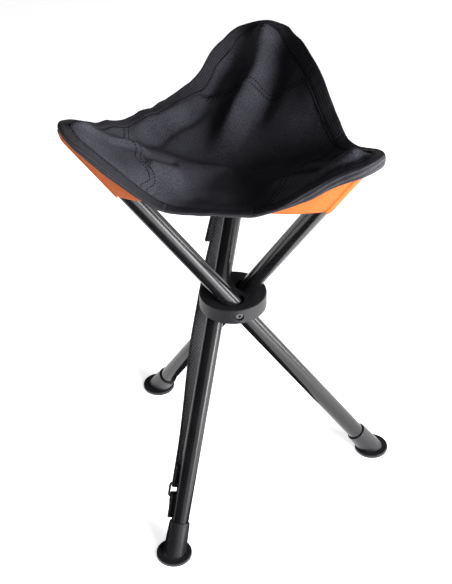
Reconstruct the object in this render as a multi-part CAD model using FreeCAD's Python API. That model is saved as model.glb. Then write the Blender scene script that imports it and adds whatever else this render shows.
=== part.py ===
import FreeCAD, Part
import math
import os
from FreeCAD import Placement, Rotation, Vector

# A folding tripod stool: three tube legs cross at a round hub, turn on screws in its rim,
# and carry a cloth seat on their tops. Millimetres and degrees, +Z up, standing on Z = 0.
# The origin is in the middle of the floor space that the stool takes up.

# Legs
TUBE_DIAMETER = 19.0
TUBE_WALL = 1.2
LEG_TILT = 34.4
LEG_FOLD = 30.0
LEG_TOP_LENGTH = 275.0
PIVOT_HEIGHT = 238.0
PIVOT_RADIUS = 16.0
PLUG_DEPTH = 18.0

# Hub and pivots
HUB_RADIUS = 36.4
HUB_THICKNESS = 18.2
HUB_EDGE_ROUND = 1.6
SLOT_CLEARANCE = 0.4
SLOT_SIDE_CLEARANCE = 0.25
SCREW_DIAMETER = 5.0
SCREW_HEAD_DIAMETER = 8.5
SCREW_HEAD_HEIGHT = 3.0
SCREW_HEAD_RECESS = 1.9
SCREW_HEAD_ROUND = 0.5
SCREW_SOCKET_WIDTH = 3.0
SCREW_SOCKET_DEPTH = 1.8
SCREW_TIP_RADIUS = 2.3
HEAD_CLEARANCE = 0.3
INSERT_DIAMETER = 7.5
INSERT_LENGTH = 5.0
BUSH_DIAMETER = 7.0
RUNNING_CLEARANCE = 0.05

# Feet
FLANGE_DIAMETER = 39.0
FLANGE_THICKNESS = 4.0
FLANGE_ROUND = 1.4
SLEEVE_TOP_DIAMETER = 22.5
SLEEVE_BASE_DIAMETER = 25.5
SLEEVE_LENGTH = 36.0
SLEEVE_RIM_ROUND = 0.9
FOOT_FLOOR = 3.0

# Seat cloth
CLOTH = 1.2
TIP_OVERHANG = 19.8
CORNER_RADIUS = 30.0
CORNER_PANEL = 88.0
CORNER_LIFT = 11.0
SEAT_SAG = 76.0
EDGE_SAGS = {"front": 66.5, "left": 40.0, "right": 18.0}
EDGE_SKEWS = {"front": 10.0, "left": 27.0, "right": 60.0}
EDGE_CLIMB = 2.0
CORNER_CLIMB = 1.25
RIDGE_INSET = 6.0
RIDGE_LENGTH = 20.0
RIDGE_WIDTH = 22.0
PLUG_TO_CLOTH = 1.2
BINDING_WIDTH = 7.0
BINDING_THICKNESS = 2.4
TIP_FLAT = 1.0
POCKET_LENGTH = 70.0
POCKET_LEG_LENGTH = 55.0
POCKET_ROOM = 2.0
POCKET_LIP = 2.0

# Rows and arcs through which the cloth is drawn
CORNER_ARCS = 6
PANEL_ARCS = 4
PANEL_FRONT_ROWS = 6
PANEL_BACK_ROWS = 5
POCKET_ROWS = 7
TIP_ROWS = 5
TAPE_ROWS = 7

# Carry strap on the back leg
STRAP_WIDTH = 20.0
STRAP_THICKNESS = 1.6
STRAP_SIDE = 45.0
STRAP_HUB_CLEARANCE = 0.8
STRAP_TOP = 180.0
STRAP_TOP_OFFSET = 17.5
STRAP_HUB_REACH = 27.0
STRAP_BULGE = 1.5
STRAP_BULGE_END = 62.0
STRAP_RETURN_START = 112.0
TAIL_LENGTH = 118.0
TAIL_SWING = 15.0
TAIL_BEND_LENGTH = 39.0
TAIL_BEND_SWING = 3.8
RING_WIRE = 2.5
RING_HEIGHT = 14.0
RING_SIDE_ROOM = 0.4
RING_CORNER = 2.2
LOOP_RETURN = 22.0
TAB_LENGTH = 24.0
TAB_FLAT_LENGTH = 14.4
TAB_TO_SLEEVE = 1.5
TAB_SCREW_DIAMETER = 4.0
TAB_SCREW_HEAD = 8.0
TAB_SCREW_HEAD_HEIGHT = 2.4
TAB_SCREW_DEPTH = 4.0
TAB_WASHER_DIAMETER = 10.0
TAB_WASHER_THICKNESS = 0.8

LEG_NAMES = ("left", "back", "right")
RISING_SIDES = {"front": 1.0, "left": -1.0, "right": 1.0}
QUARTER_TURN = 90.0
HALF_TURN = 2 * QUARTER_TURN
HALF_STEP = HALF_TURN / len(LEG_NAMES)
FIRST_CORNER = QUARTER_TURN
CORNER_AZIMUTHS = {
    "left": FIRST_CORNER + 2 * HALF_STEP,
    "back": FIRST_CORNER,
    "right": FIRST_CORNER + 4 * HALF_STEP,
}
EDGE_AZIMUTHS = {
    "front": FIRST_CORNER + HALF_TURN,
    "left": FIRST_CORNER + HALF_STEP,
    "right": FIRST_CORNER - HALF_STEP,
}

X_AXIS = Vector(1, 0, 0)
Y_AXIS = Vector(0, 1, 0)
Z_AXIS = Vector(0, 0, 1)

# Values that follow from the sizes above
TILT = math.radians(LEG_TILT)
TUBE_RADIUS = TUBE_DIAMETER / 2
BORE_RADIUS = TUBE_RADIUS - TUBE_WALL
SLOT_RADIUS = TUBE_RADIUS + SLOT_CLEARANCE
LEG_LOWER_LENGTH = PIVOT_HEIGHT / math.cos(TILT)
FOOT_FLOOR_LENGTH = (FLANGE_THICKNESS + FOOT_FLOOR) / math.cos(TILT) + TUBE_RADIUS * math.tan(TILT)
TUBE_LOWER_END = LEG_LOWER_LENGTH - FOOT_FLOOR_LENGTH
TOP_REACH = LEG_TOP_LENGTH * math.sin(TILT)
TOP_RADIUS = math.hypot(PIVOT_RADIUS, TOP_REACH)
TOP_HEIGHT = PIVOT_HEIGHT + LEG_TOP_LENGTH * math.cos(TILT)
PIVOT_TURN = math.degrees(math.atan2(TOP_REACH, PIVOT_RADIUS))
HEAD_FACE = HUB_RADIUS - SCREW_HEAD_RECESS
HEAD_SEAT = HEAD_FACE - SCREW_HEAD_HEIGHT
TIP_RADIUS = TOP_RADIUS + TIP_OVERHANG
EDGE_DISTANCE = (TIP_RADIUS + CORNER_RADIUS) / 2
CORNER_CENTRE = TIP_RADIUS - CORNER_RADIUS
CORNER_HEIGHT = TOP_HEIGHT + CORNER_LIFT
CENTRE_HEIGHT = CORNER_HEIGHT - SEAT_SAG
SEAM_DISTANCE = TIP_RADIUS - CORNER_PANEL
POCKET_HEM = TIP_RADIUS - POCKET_LENGTH
POCKET_LEG_HEM = TIP_RADIUS - POCKET_LEG_LENGTH
CLOTH_EDGE = EDGE_DISTANCE - BINDING_WIDTH
CLOTH_CORNER = CORNER_RADIUS - BINDING_WIDTH


def pivot_azimuth(name):
    """Direction from the hub axis to the pivot of the leg that holds this corner."""
    return CORNER_AZIMUTHS[name] + PIVOT_TURN


def turned(shape, azimuth):
    """A copy of a shape turned about the hub axis."""
    copy = shape.copy()
    copy.rotate(Vector(0, 0, 0), Z_AXIS, azimuth)
    return copy


def on_leg(shape, name):
    """A copy of a shape drawn along Z, with the pivot at its origin, put on a leg."""
    copy = shape.copy()
    copy.Placement = Placement(Vector(PIVOT_RADIUS, 0, PIVOT_HEIGHT), Rotation(X_AXIS, LEG_TILT))
    return turned(copy, pivot_azimuth(name))


def outline_half_width(distance, edge, corner_radius):
    """Half the width of a corner at a distance from the hub axis, for one of the seat's outlines."""
    centre = 2 * (edge - corner_radius)
    tangent_point = centre + corner_radius / 2
    if distance <= tangent_point:
        return (2 * edge - distance) / math.tan(math.radians(HALF_STEP))
    return math.sqrt(max(corner_radius ** 2 - (distance - centre) ** 2, 0.0))


def outline_reach(azimuth):
    """Distance from the hub axis to the seat's outer edge in a direction."""
    half_step = math.radians(HALF_STEP)
    off_corner = abs((math.radians(azimuth - FIRST_CORNER) + half_step) % (2 * half_step) - half_step)
    round_along = CORNER_CENTRE + CORNER_RADIUS * math.cos(half_step)
    round_end = math.atan2(CORNER_RADIUS * math.sin(half_step), round_along)
    if off_corner >= round_end:
        return EDGE_DISTANCE / math.cos(half_step - off_corner)
    sideways = CORNER_CENTRE * math.sin(off_corner)
    return CORNER_CENTRE * math.cos(off_corner) + math.sqrt(CORNER_RADIUS ** 2 - sideways ** 2)


def nearest_edge(azimuth):
    """Name of the edge that a direction looks at, and the angle from its middle."""
    angles = {}
    for name, middle in EDGE_AZIMUTHS.items():
        angles[name] = (azimuth - middle + HALF_TURN) % (2 * HALF_TURN) - HALF_TURN
    name = min(angles, key=lambda key: abs(angles[key]))
    return name, angles[name]


def corner_share(azimuth):
    """1 in the direction of a corner, 0 in the direction of the middle of an edge."""
    return (1 + math.cos(math.radians(len(LEG_NAMES) * (azimuth - FIRST_CORNER)))) / 2


def edge_height(azimuth):
    """Height of the seat's outer edge: high at the corners, sagging and skewed between them."""
    name, angle = nearest_edge(azimuth)
    place = RISING_SIDES[name] * angle / HALF_STEP
    sag = EDGE_SAGS[name] * (1 - corner_share(azimuth) ** 3)
    return CORNER_HEIGHT - sag + EDGE_SKEWS[name] * place * (1 - place ** 2) ** 2


def smooth_height(x, y):
    """Top of the seat cloth without the ridges over the leg tops."""
    distance = math.hypot(x, y)
    azimuth = math.degrees(math.atan2(y, x))
    climb = EDGE_CLIMB + (CORNER_CLIMB - EDGE_CLIMB) * corner_share(azimuth)
    share = (distance / outline_reach(azimuth)) ** climb
    return CENTRE_HEIGHT + (edge_height(azimuth) - CENTRE_HEIGHT) * share


def ridge_share(along, across):
    """Share of the ridge's height at a place on a seat corner."""
    lengthwise = (along - TOP_RADIUS + RIDGE_INSET) / RIDGE_LENGTH
    return math.exp(-lengthwise ** 2 - (across / RIDGE_WIDTH) ** 2)


# The cloth clears the round plug in each leg top
PLUG_CROWN = TOP_HEIGHT + TUBE_RADIUS
CLOTH_CROWN = PLUG_CROWN + PLUG_TO_CLOTH + CLOTH
RIDGE_RISE = (CLOTH_CROWN - smooth_height(0, TOP_RADIUS)) / ridge_share(TOP_RADIUS, 0)


def corner_point(name, along, across):
    """Plan position from the distance along a corner's direction and the distance across it."""
    azimuth = math.radians(CORNER_AZIMUTHS[name])
    x = along * math.cos(azimuth) - across * math.sin(azimuth)
    y = along * math.sin(azimuth) + across * math.cos(azimuth)
    return x, y


def seat_height(x, y):
    """Top of the seat cloth, with a ridge over each leg top."""
    height = smooth_height(x, y)
    for name in LEG_NAMES:
        azimuth = math.radians(CORNER_AZIMUTHS[name])
        along = x * math.cos(azimuth) + y * math.sin(azimuth)
        across = y * math.cos(azimuth) - x * math.sin(azimuth)
        height += RIDGE_RISE * ridge_share(along, across)
    return height


def cloth_point(x, y, drop=0.0):
    """Point on the top of the seat cloth, or straight below it."""
    return Vector(x, y, seat_height(x, y) - drop)


def polygon(points):
    """Closed wire of straight edges."""
    return Part.makePolygon(list(points) + [points[0]])


def arc_run(points):
    """Arcs through the points, each through three of them in a row."""
    return [Part.Arc(*points[i:i + 3]).toShape() for i in range(0, len(points) - 2, 2)]


def cloth_section(places, thickness):
    """Closed section of the cloth over plan positions: arcs on top and below, upright ends."""
    top = [cloth_point(x, y) for x, y in places]
    below = [point - Z_AXIS * thickness for point in top]
    edges = arc_run(top)
    edges.append(Part.LineSegment(top[-1], below[-1]).toShape())
    edges += arc_run(below[::-1])
    edges.append(Part.LineSegment(below[0], top[0]).toShape())
    return Part.Wire(edges)


def ruled(sections):
    """Closed solid through a row of like sections."""
    return Part.makeLoft(sections, True, True)


def spaced(start, end, count):
    """Evenly spaced values, both ends included."""
    return [start + (end - start) * i / (count - 1) for i in range(count)]


# Hub and pivots


def pivot_cylinder(radius, start, end):
    """Cylinder along the pivot axis in the +X direction, between two distances from the hub axis."""
    return Part.makeCylinder(radius, end - start, Vector(start, 0, PIVOT_HEIGHT), X_AXIS)


def swing_slot():
    """Space that one leg needs in the hub, from open to folded."""
    pivot = Vector(PIVOT_RADIUS, 0, PIVOT_HEIGHT)
    reach = 2 * HUB_THICKNESS
    folded = math.radians(LEG_TILT - LEG_FOLD)
    tools = []
    for tilt in (TILT, folded):
        direction = Vector(0, -math.sin(tilt), math.cos(tilt))
        tools.append(Part.makeCylinder(SLOT_RADIUS, 2 * reach, pivot - direction * reach, direction))
    half_width = TUBE_RADIUS + SLOT_SIDE_CLEARANCE
    start = pivot - X_AXIS * half_width
    for side in (1, -1):
        corners = [start]
        for tilt in (TILT, folded):
            corners.append(start + Vector(0, -math.sin(tilt), math.cos(tilt)) * side * reach)
        tools.append(Part.Face(polygon(corners)).extrude(X_AXIS * 2 * half_width))
    return tools[0].multiFuse(tools[1:])


def hub_body():
    """Round moulded hub with three skewed slots and a stepped hole for each pivot screw."""
    low = PIVOT_HEIGHT - HUB_THICKNESS / 2
    disc = Part.makeCylinder(HUB_RADIUS, HUB_THICKNESS, Vector(0, 0, low))
    rims = [edge for edge in disc.Edges if isinstance(edge.Curve, Part.Circle)]
    disc = disc.makeFillet(HUB_EDGE_ROUND, rims)
    shaft_hole = SCREW_DIAMETER / 2 + RUNNING_CLEARANCE
    hole = pivot_cylinder(shaft_hole, SCREW_TIP_RADIUS - RUNNING_CLEARANCE, HEAD_SEAT)
    insert_seat = pivot_cylinder(INSERT_DIAMETER / 2, HEAD_SEAT - INSERT_LENGTH, HEAD_SEAT)
    head_hole = SCREW_HEAD_DIAMETER / 2 + HEAD_CLEARANCE
    head_room = pivot_cylinder(head_hole, HEAD_SEAT, HUB_RADIUS + HEAD_CLEARANCE)
    tool = swing_slot().multiFuse([hole, insert_seat, head_room])
    return disc.cut([turned(tool, pivot_azimuth(name)) for name in LEG_NAMES])


def pivot_screw():
    """Socket screw that lies along +X in the hub, with a plain end in the hub's core."""
    shaft = pivot_cylinder(SCREW_DIAMETER / 2, SCREW_TIP_RADIUS, HEAD_SEAT)
    head = pivot_cylinder(SCREW_HEAD_DIAMETER / 2, HEAD_SEAT, HEAD_FACE)
    outer_edge = [edge for edge in head.Edges if edge.CenterOfMass.x > HEAD_FACE - RUNNING_CLEARANCE]
    head = head.makeFillet(SCREW_HEAD_ROUND, outer_edge)
    corners = []
    for step in range(6):
        angle = math.radians(60 * step)
        radius = SCREW_SOCKET_WIDTH / math.sqrt(3)
        corners.append(Vector(HEAD_FACE, radius * math.cos(angle), PIVOT_HEIGHT + radius * math.sin(angle)))
    socket = Part.Face(polygon(corners)).extrude(X_AXIS * -SCREW_SOCKET_DEPTH)
    return shaft.fuse(head).cut(socket).removeSplitter()


def screw_insert():
    """Threaded insert in the hub rim."""
    outer = pivot_cylinder(INSERT_DIAMETER / 2, HEAD_SEAT - INSERT_LENGTH, HEAD_SEAT)
    return outer.cut(pivot_cylinder(SCREW_DIAMETER / 2, HEAD_SEAT - INSERT_LENGTH, HEAD_SEAT))


# Legs, drawn along Z with the pivot at the origin


def leg_tube():
    """Steel tube with a cross hole for its pivot bush."""
    length = LEG_TOP_LENGTH + TUBE_LOWER_END
    start = Vector(0, 0, -TUBE_LOWER_END)
    tube = Part.makeCylinder(TUBE_RADIUS, length, start)
    bore = Part.makeCylinder(BORE_RADIUS, length, start)
    cross = Part.makeCylinder(BUSH_DIAMETER / 2, TUBE_DIAMETER, Vector(-TUBE_RADIUS, 0, 0), X_AXIS)
    return tube.cut([bore, cross])


def pivot_bush():
    """Bush through the tube, flush with it, on which the leg turns about its screw."""
    start = Vector(-TUBE_RADIUS, 0, 0)
    outer = Part.makeCylinder(BUSH_DIAMETER / 2, TUBE_DIAMETER, start, X_AXIS)
    bore = Part.makeCylinder(SCREW_DIAMETER / 2 + RUNNING_CLEARANCE, TUBE_DIAMETER, start, X_AXIS)
    inside_tube = Part.makeCylinder(TUBE_RADIUS, BUSH_DIAMETER, Vector(0, 0, -BUSH_DIAMETER / 2))
    return outer.common(inside_tube).cut(bore)


def top_plug():
    """Round-headed plug in the top of the tube."""
    centre = Vector(0, 0, LEG_TOP_LENGTH)
    spigot = Part.makeCylinder(BORE_RADIUS, PLUG_DEPTH, centre - Z_AXIS * PLUG_DEPTH)
    dome = Part.makeSphere(TUBE_RADIUS, centre, Z_AXIS, 0, QUARTER_TURN, 2 * HALF_TURN)
    return spigot.fuse(dome).removeSplitter()


def foot_cap(name):
    """Moulded foot: a tapered sleeve round the tube, on a flat round flange."""
    base = Vector(PIVOT_RADIUS, PIVOT_HEIGHT * math.tan(TILT), 0)
    axis = Vector(0, -math.sin(TILT), math.cos(TILT))
    below = FLANGE_DIAMETER / 2
    slope = (SLEEVE_BASE_DIAMETER - SLEEVE_TOP_DIAMETER) / 2 / SLEEVE_LENGTH
    low_radius = SLEEVE_BASE_DIAMETER / 2 + slope * below
    top_radius = SLEEVE_TOP_DIAMETER / 2
    sleeve = Part.makeCone(low_radius, top_radius, SLEEVE_LENGTH + below, base - axis * below, axis)
    top = base + axis * SLEEVE_LENGTH
    rim = [edge for edge in sleeve.Edges if edge.CenterOfMass.distanceToPoint(top) < SLEEVE_RIM_ROUND]
    sleeve = sleeve.makeFillet(SLEEVE_RIM_ROUND, rim)
    ground = Part.makeBox(2 * FLANGE_DIAMETER, 2 * FLANGE_DIAMETER, FLANGE_DIAMETER)
    ground.translate(base - Vector(FLANGE_DIAMETER, FLANGE_DIAMETER, FLANGE_DIAMETER))
    flange = Part.makeCylinder(FLANGE_DIAMETER / 2, FLANGE_THICKNESS, base)
    upper = [edge for edge in flange.Edges if edge.CenterOfMass.z > FLANGE_THICKNESS - FLANGE_ROUND / 2]
    flange = flange.makeFillet(FLANGE_ROUND, [edge for edge in upper if isinstance(edge.Curve, Part.Circle)])
    bore_start = base + axis * (LEG_LOWER_LENGTH - TUBE_LOWER_END)
    bore = Part.makeCylinder(TUBE_RADIUS, SLEEVE_LENGTH, bore_start, axis)
    cap = sleeve.cut(ground).fuse(flange).cut(bore).removeSplitter()
    return turned(cap, pivot_azimuth(name))


# Seat


def across_corner(name, along, half_width):
    """Plan positions in a row across a corner."""
    row = spaced(-half_width, half_width, 2 * CORNER_ARCS + 1)
    return [corner_point(name, along, across) for across in row]


def corner_stations():
    """Distances along a corner at which its panel and its binding are drawn."""
    round_start = 2 * (CLOTH_EDGE - CLOTH_CORNER) + CLOTH_CORNER / 2
    last = 2 * CLOTH_EDGE - CLOTH_CORNER - TIP_FLAT
    side = spaced(POCKET_HEM, round_start, POCKET_ROWS)
    return [SEAM_DISTANCE] + side + spaced(round_start, last, TIP_ROWS)[1:]


def corner_panel(name):
    """Cloth of one seat corner, from its seam to the tip, with the ridge over the leg top."""
    sections = []
    for along in corner_stations():
        half_width = outline_half_width(along, CLOTH_EDGE, CLOTH_CORNER)
        sections.append(cloth_section(across_corner(name, along, half_width), CLOTH))
    return ruled(sections)


def seat_panel():
    """Middle of the seat: a six-sided piece that hangs between the corner seams and the edges."""
    seam_end = outline_half_width(SEAM_DISTANCE, CLOTH_EDGE, CLOTH_CORNER)
    wide_x, wide_y = corner_point("right", SEAM_DISTANCE, seam_end)
    narrow_x, front_y = corner_point("right", SEAM_DISTANCE, -seam_end)
    sections = []
    front_rows = spaced(front_y, wide_y, PANEL_FRONT_ROWS)
    back_rows = spaced(wide_y, SEAM_DISTANCE, PANEL_BACK_ROWS)
    for y in front_rows[:-1] + back_rows:
        if y < wide_y:
            reach = narrow_x + (wide_x - narrow_x) * (y - front_y) / (wide_y - front_y)
        else:
            reach = wide_x + (seam_end - wide_x) * (y - wide_y) / (SEAM_DISTANCE - wide_y)
        row = spaced(-reach, reach, 2 * PANEL_ARCS + 1)
        sections.append(cloth_section([(x, y) for x in row], CLOTH))
    return ruled(sections)


def binding_section(inner, outward):
    """Four-sided section of the edge tape, from the cloth's edge outwards."""
    x, y = inner
    out_x = x + outward[0] * BINDING_WIDTH
    out_y = y + outward[1] * BINDING_WIDTH
    proud = (BINDING_THICKNESS - CLOTH) / 2
    rise = Z_AXIS * proud
    fall = Z_AXIS * (BINDING_THICKNESS - proud)
    near = cloth_point(x, y)
    far = cloth_point(out_x, out_y)
    return polygon([near + rise, far + rise, far - fall, near - fall])


def edge_binding(edge):
    """Tape on the middle of one seat edge, between the corner seams."""
    azimuth = math.radians(EDGE_AZIMUTHS[edge])
    outward = (math.cos(azimuth), math.sin(azimuth))
    seam_end = outline_half_width(SEAM_DISTANCE, CLOTH_EDGE, CLOTH_CORNER)
    half_length = math.sqrt(SEAM_DISTANCE ** 2 + seam_end ** 2 - CLOTH_EDGE ** 2)
    sections = []
    for place in spaced(-half_length, half_length, TAPE_ROWS):
        x = CLOTH_EDGE * outward[0] - place * outward[1]
        y = CLOTH_EDGE * outward[1] + place * outward[0]
        sections.append(binding_section((x, y), outward))
    return ruled(sections)


def corner_binding(name):
    """Tape round one seat corner, from seam to seam."""
    centre = 2 * (CLOTH_EDGE - CLOTH_CORNER)
    corner = math.radians(CORNER_AZIMUTHS[name])
    ends = []
    for along in corner_stations():
        across = outline_half_width(along, CLOTH_EDGE, CLOTH_CORNER)
        angle = min(math.atan2(across, max(along - centre, 0.0)), math.radians(HALF_STEP))
        ends.append((along, across, angle))
    sections = []
    for side, row in ((-1, ends), (1, ends[::-1])):
        for along, across, angle in row:
            direction = corner + side * angle
            outward = (math.cos(direction), math.sin(direction))
            sections.append(binding_section(corner_point(name, along, side * across), outward))
    return ruled(sections)


def leg_across(along):
    """Sideways offset of a leg's axis from its corner's direction, at a distance along it."""
    turn = math.radians(QUARTER_TURN - PIVOT_TURN)
    return (TOP_RADIUS - along) * math.tan(turn)


def leg_height(along):
    """Height of a leg's axis at a distance along its corner's direction."""
    turn = math.radians(QUARTER_TURN - PIVOT_TURN)
    return TOP_HEIGHT - (TOP_RADIUS - along) / math.cos(turn) / math.tan(TILT)


def pocket_section(name, along):
    """Trough section under a leg: two sides that hang from the corner's edges and a round bottom."""
    half_width = outline_half_width(along, CLOTH_EDGE, CLOTH_CORNER)
    middle = leg_across(along)
    floor = leg_height(along) - TUBE_RADIUS / math.sin(TILT) - POCKET_ROOM
    heel = min(TUBE_RADIUS - POCKET_ROOM, half_width / 2)

    def hung(across):
        return cloth_point(*corner_point(name, along, across), CLOTH)

    def trough(half, low):
        places = ((middle - half, low + POCKET_ROOM), (middle, low), (middle + half, low + POCKET_ROOM))
        return [Vector(*corner_point(name, along, across), height) for across, height in places]

    def lip(seam, foot, inward):
        down = (foot - seam) * (POCKET_LIP / (seam.z - foot.z))
        return seam + down + Vector(*corner_point(name, 0, inward * CLOTH), 0)

    outside = [hung(-half_width)] + trough(heel + CLOTH, floor - CLOTH) + [hung(half_width)]
    inside = [lip(outside[0], outside[1], 1)] + trough(heel, floor) + [lip(outside[4], outside[3], -1)]
    edges = []
    for row in (inside, outside[::-1]):
        edges.append(Part.LineSegment(row[0], row[1]).toShape())
        edges += arc_run(row[1:4])
        edges.append(Part.LineSegment(row[3], row[4]).toShape())
        turn = outside[4] if row is inside else inside[0]
        edges.append(Part.LineSegment(row[4], turn).toShape())
    return Part.Wire(edges)


def hem_space(name):
    """Space below the pocket's hem, which rises from the lower edge of the corner to the leg's underside."""
    half_width = outline_half_width(POCKET_HEM, CLOTH_EDGE, CLOTH_CORNER)
    seams = [cloth_point(*corner_point(name, POCKET_HEM, side * half_width), CLOTH) for side in (-1, 1)]
    start = min(seam.z for seam in seams)
    drop = start - (leg_height(POCKET_LEG_HEM) - TUBE_RADIUS / math.sin(TILT) - POCKET_ROOM)
    lean = math.degrees(math.atan2(POCKET_LEG_HEM - POCKET_HEM, drop))
    size = 2 * TIP_RADIUS
    space = Part.makeBox(size, size, size, Vector(0, -size / 2, -size / 2))
    space.Placement = Placement(Vector(POCKET_HEM, 0, start), Rotation(Y_AXIS, HALF_TURN - lean))
    return turned(space, CORNER_AZIMUTHS[name])


def leg_pocket(name):
    """Cloth pocket under a seat corner, round the top of the leg."""
    pocket = ruled([pocket_section(name, along) for along in corner_stations()[1:]])
    return pocket.cut(hem_space(name))


# Carry strap, drawn on a leg: offsets point away from the tube, heights run along it

STRAP_ANGLE = math.radians(STRAP_SIDE)
STRAP_OUT = Vector(math.cos(STRAP_ANGLE), -math.sin(STRAP_ANGLE), 0)
STRAP_ACROSS = Vector(math.sin(STRAP_ANGLE), math.cos(STRAP_ANGLE), 0)
RING_OFFSET = TUBE_RADIUS + STRAP_THICKNESS + RING_WIRE / 2
LOOP_RADIUS = RING_WIRE / 2 + STRAP_THICKNESS
TAB_END = -(LEG_LOWER_LENGTH - SLEEVE_LENGTH) + TAB_TO_SLEEVE
RING_LOW = TAB_END + TAB_LENGTH
RING_HIGH = RING_LOW + RING_HEIGHT


def strap_hub_offset():
    """Offset at which the strap's inner face passes the hub rim, open and folded."""
    half_x = STRAP_WIDTH / 2 * STRAP_ACROSS.x
    half_y = STRAP_WIDTH / 2 * STRAP_ACROSS.y
    near_x = PIVOT_RADIUS - half_x
    reach = HUB_RADIUS + STRAP_HUB_CLEARANCE
    linear = near_x * STRAP_OUT.x - half_y * STRAP_OUT.y
    rest = near_x ** 2 + half_y ** 2 - reach ** 2
    return -linear + math.sqrt(linear ** 2 - rest)


def strap_slice(height, inner_offset):
    """Section of webbing across the leg."""
    middle = STRAP_OUT * inner_offset + Z_AXIS * height
    half = STRAP_ACROSS * (STRAP_WIDTH / 2)
    thick = STRAP_OUT * STRAP_THICKNESS
    return polygon([middle - half, middle + half, middle + half + thick, middle - half + thick])


def webbing_loop(height, side):
    """Webbing bent half round a bar of the ring, on its lower or upper side."""
    half = STRAP_ACROSS * (STRAP_WIDTH / 2)
    centre = STRAP_OUT * RING_OFFSET + Z_AXIS * height
    outer = Part.makeCylinder(LOOP_RADIUS, STRAP_WIDTH, centre - half, STRAP_ACROSS)
    bar = Part.makeCylinder(RING_WIRE / 2, STRAP_WIDTH, centre - half, STRAP_ACROSS)
    cut_size = 2 * STRAP_WIDTH
    keep_out = Part.makeBox(cut_size, cut_size, cut_size, Vector(-cut_size / 2, -cut_size / 2, 0))
    keep_out.translate(centre if side < 0 else centre - Z_AXIS * cut_size)
    return outer.cut([bar, keep_out])


def carry_strap():
    """Webbing from the seat, past the hub, to the ring: it bulges below the hub and doubles back."""
    hub_offset = strap_hub_offset()
    outer_layer = RING_OFFSET + RING_WIRE / 2
    inner_layer = RING_OFFSET - LOOP_RADIUS
    run = [
        (STRAP_TOP, STRAP_TOP_OFFSET),
        (STRAP_TOP / 2, STRAP_TOP_OFFSET),
        (STRAP_HUB_REACH, hub_offset),
        (-STRAP_HUB_REACH, hub_offset + STRAP_BULGE),
        (-STRAP_BULGE_END, hub_offset + STRAP_BULGE),
        (-STRAP_RETURN_START, (hub_offset + outer_layer) / 2),
        (RING_HIGH + LOOP_RETURN, outer_layer),
        (RING_HIGH, outer_layer),
    ]
    front = ruled([strap_slice(height, offset) for height, offset in run])
    back = ruled([strap_slice(RING_HIGH, inner_layer), strap_slice(RING_HIGH + LOOP_RETURN, inner_layer)])
    return front.multiFuse([webbing_loop(RING_HIGH, -1), back]).removeSplitter()


def strap_tail():
    """Loose end of the webbing, beside the top of the strap."""
    offset = STRAP_TOP_OFFSET + STRAP_THICKNESS
    run = [
        (STRAP_TOP, offset),
        (STRAP_TOP - TAIL_BEND_LENGTH, offset + TAIL_BEND_SWING),
        (STRAP_TOP - TAIL_LENGTH, offset + TAIL_SWING),
    ]
    return ruled([strap_slice(height, place) for height, place in run])


def strap_ring():
    """Wire ring with round corners that joins the strap to its tab."""
    half_width = STRAP_WIDTH / 2 + RING_SIDE_ROOM + RING_CORNER
    middle = (RING_LOW + RING_HIGH) / 2

    def place(across, up):
        return STRAP_OUT * RING_OFFSET + STRAP_ACROSS * across + Z_AXIS * (middle + up)

    half_height = RING_HEIGHT / 2
    straight_w = half_width - RING_CORNER
    straight_h = half_height - RING_CORNER
    bevel = RING_CORNER * (1 - math.sqrt(0.5))
    edges = []
    turns = ((1, 1), (-1, 1), (-1, -1), (1, -1))
    for index, (right, up) in enumerate(turns):
        upright = place(right * half_width, up * straight_h)
        level = place(right * straight_w, up * half_height)
        middle_point = place(right * (half_width - bevel), up * (half_height - bevel))
        first, last = (upright, level) if index % 2 == 0 else (level, upright)
        next_right, next_up = turns[(index + 1) % 4]
        if index % 2 == 0:
            following = place(next_right * straight_w, next_up * half_height)
        else:
            following = place(next_right * half_width, next_up * straight_h)
        edges.append(Part.Arc(first, middle_point, last).toShape())
        edges.append(Part.LineSegment(last, following).toShape())
    path = Part.Wire(edges)
    start = place(half_width, straight_h)
    section = Part.Wire(Part.makeCircle(RING_WIRE / 2, start, Z_AXIS))
    return path.makePipeShell([section], True, False)


def tab_screw_hole(radius, start, end):
    """Cylinder square to the tube through the middle of the tab."""
    height = TAB_END + TAB_SCREW_HEAD
    base = STRAP_OUT * start + Z_AXIS * height
    return Part.makeCylinder(radius, end - start, base, STRAP_OUT)


TAB_FACE = RING_OFFSET - LOOP_RADIUS + 2 * STRAP_THICKNESS
WASHER_FACE = TAB_FACE + TAB_WASHER_THICKNESS


def strap_tab():
    """Webbing folded through the ring, both layers screwed to the leg."""
    inner_layer = RING_OFFSET - LOOP_RADIUS
    outer_layer = RING_OFFSET + RING_WIRE / 2
    low = TAB_END + TAB_FLAT_LENGTH
    inner = ruled([strap_slice(RING_LOW, inner_layer), strap_slice(TAB_END, inner_layer)])
    middle_layer = inner_layer + STRAP_THICKNESS
    outer_run = [
        (RING_LOW, outer_layer),
        (RING_LOW - RING_WIRE, outer_layer),
        (low, middle_layer),
        (TAB_END, middle_layer),
    ]
    outer = ruled([strap_slice(height, offset) for height, offset in outer_run])
    tab = inner.multiFuse([outer, webbing_loop(RING_LOW, 1)])
    return tab.cut(tab_screw_hole(TAB_SCREW_DIAMETER / 2, 0, 2 * TUBE_DIAMETER)).removeSplitter()


def tab_washer():
    """Washer under the tab screw's head."""
    outer = tab_screw_hole(TAB_WASHER_DIAMETER / 2, TAB_FACE, WASHER_FACE)
    return outer.cut(tab_screw_hole(TAB_SCREW_DIAMETER / 2, TAB_FACE, WASHER_FACE))


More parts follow.
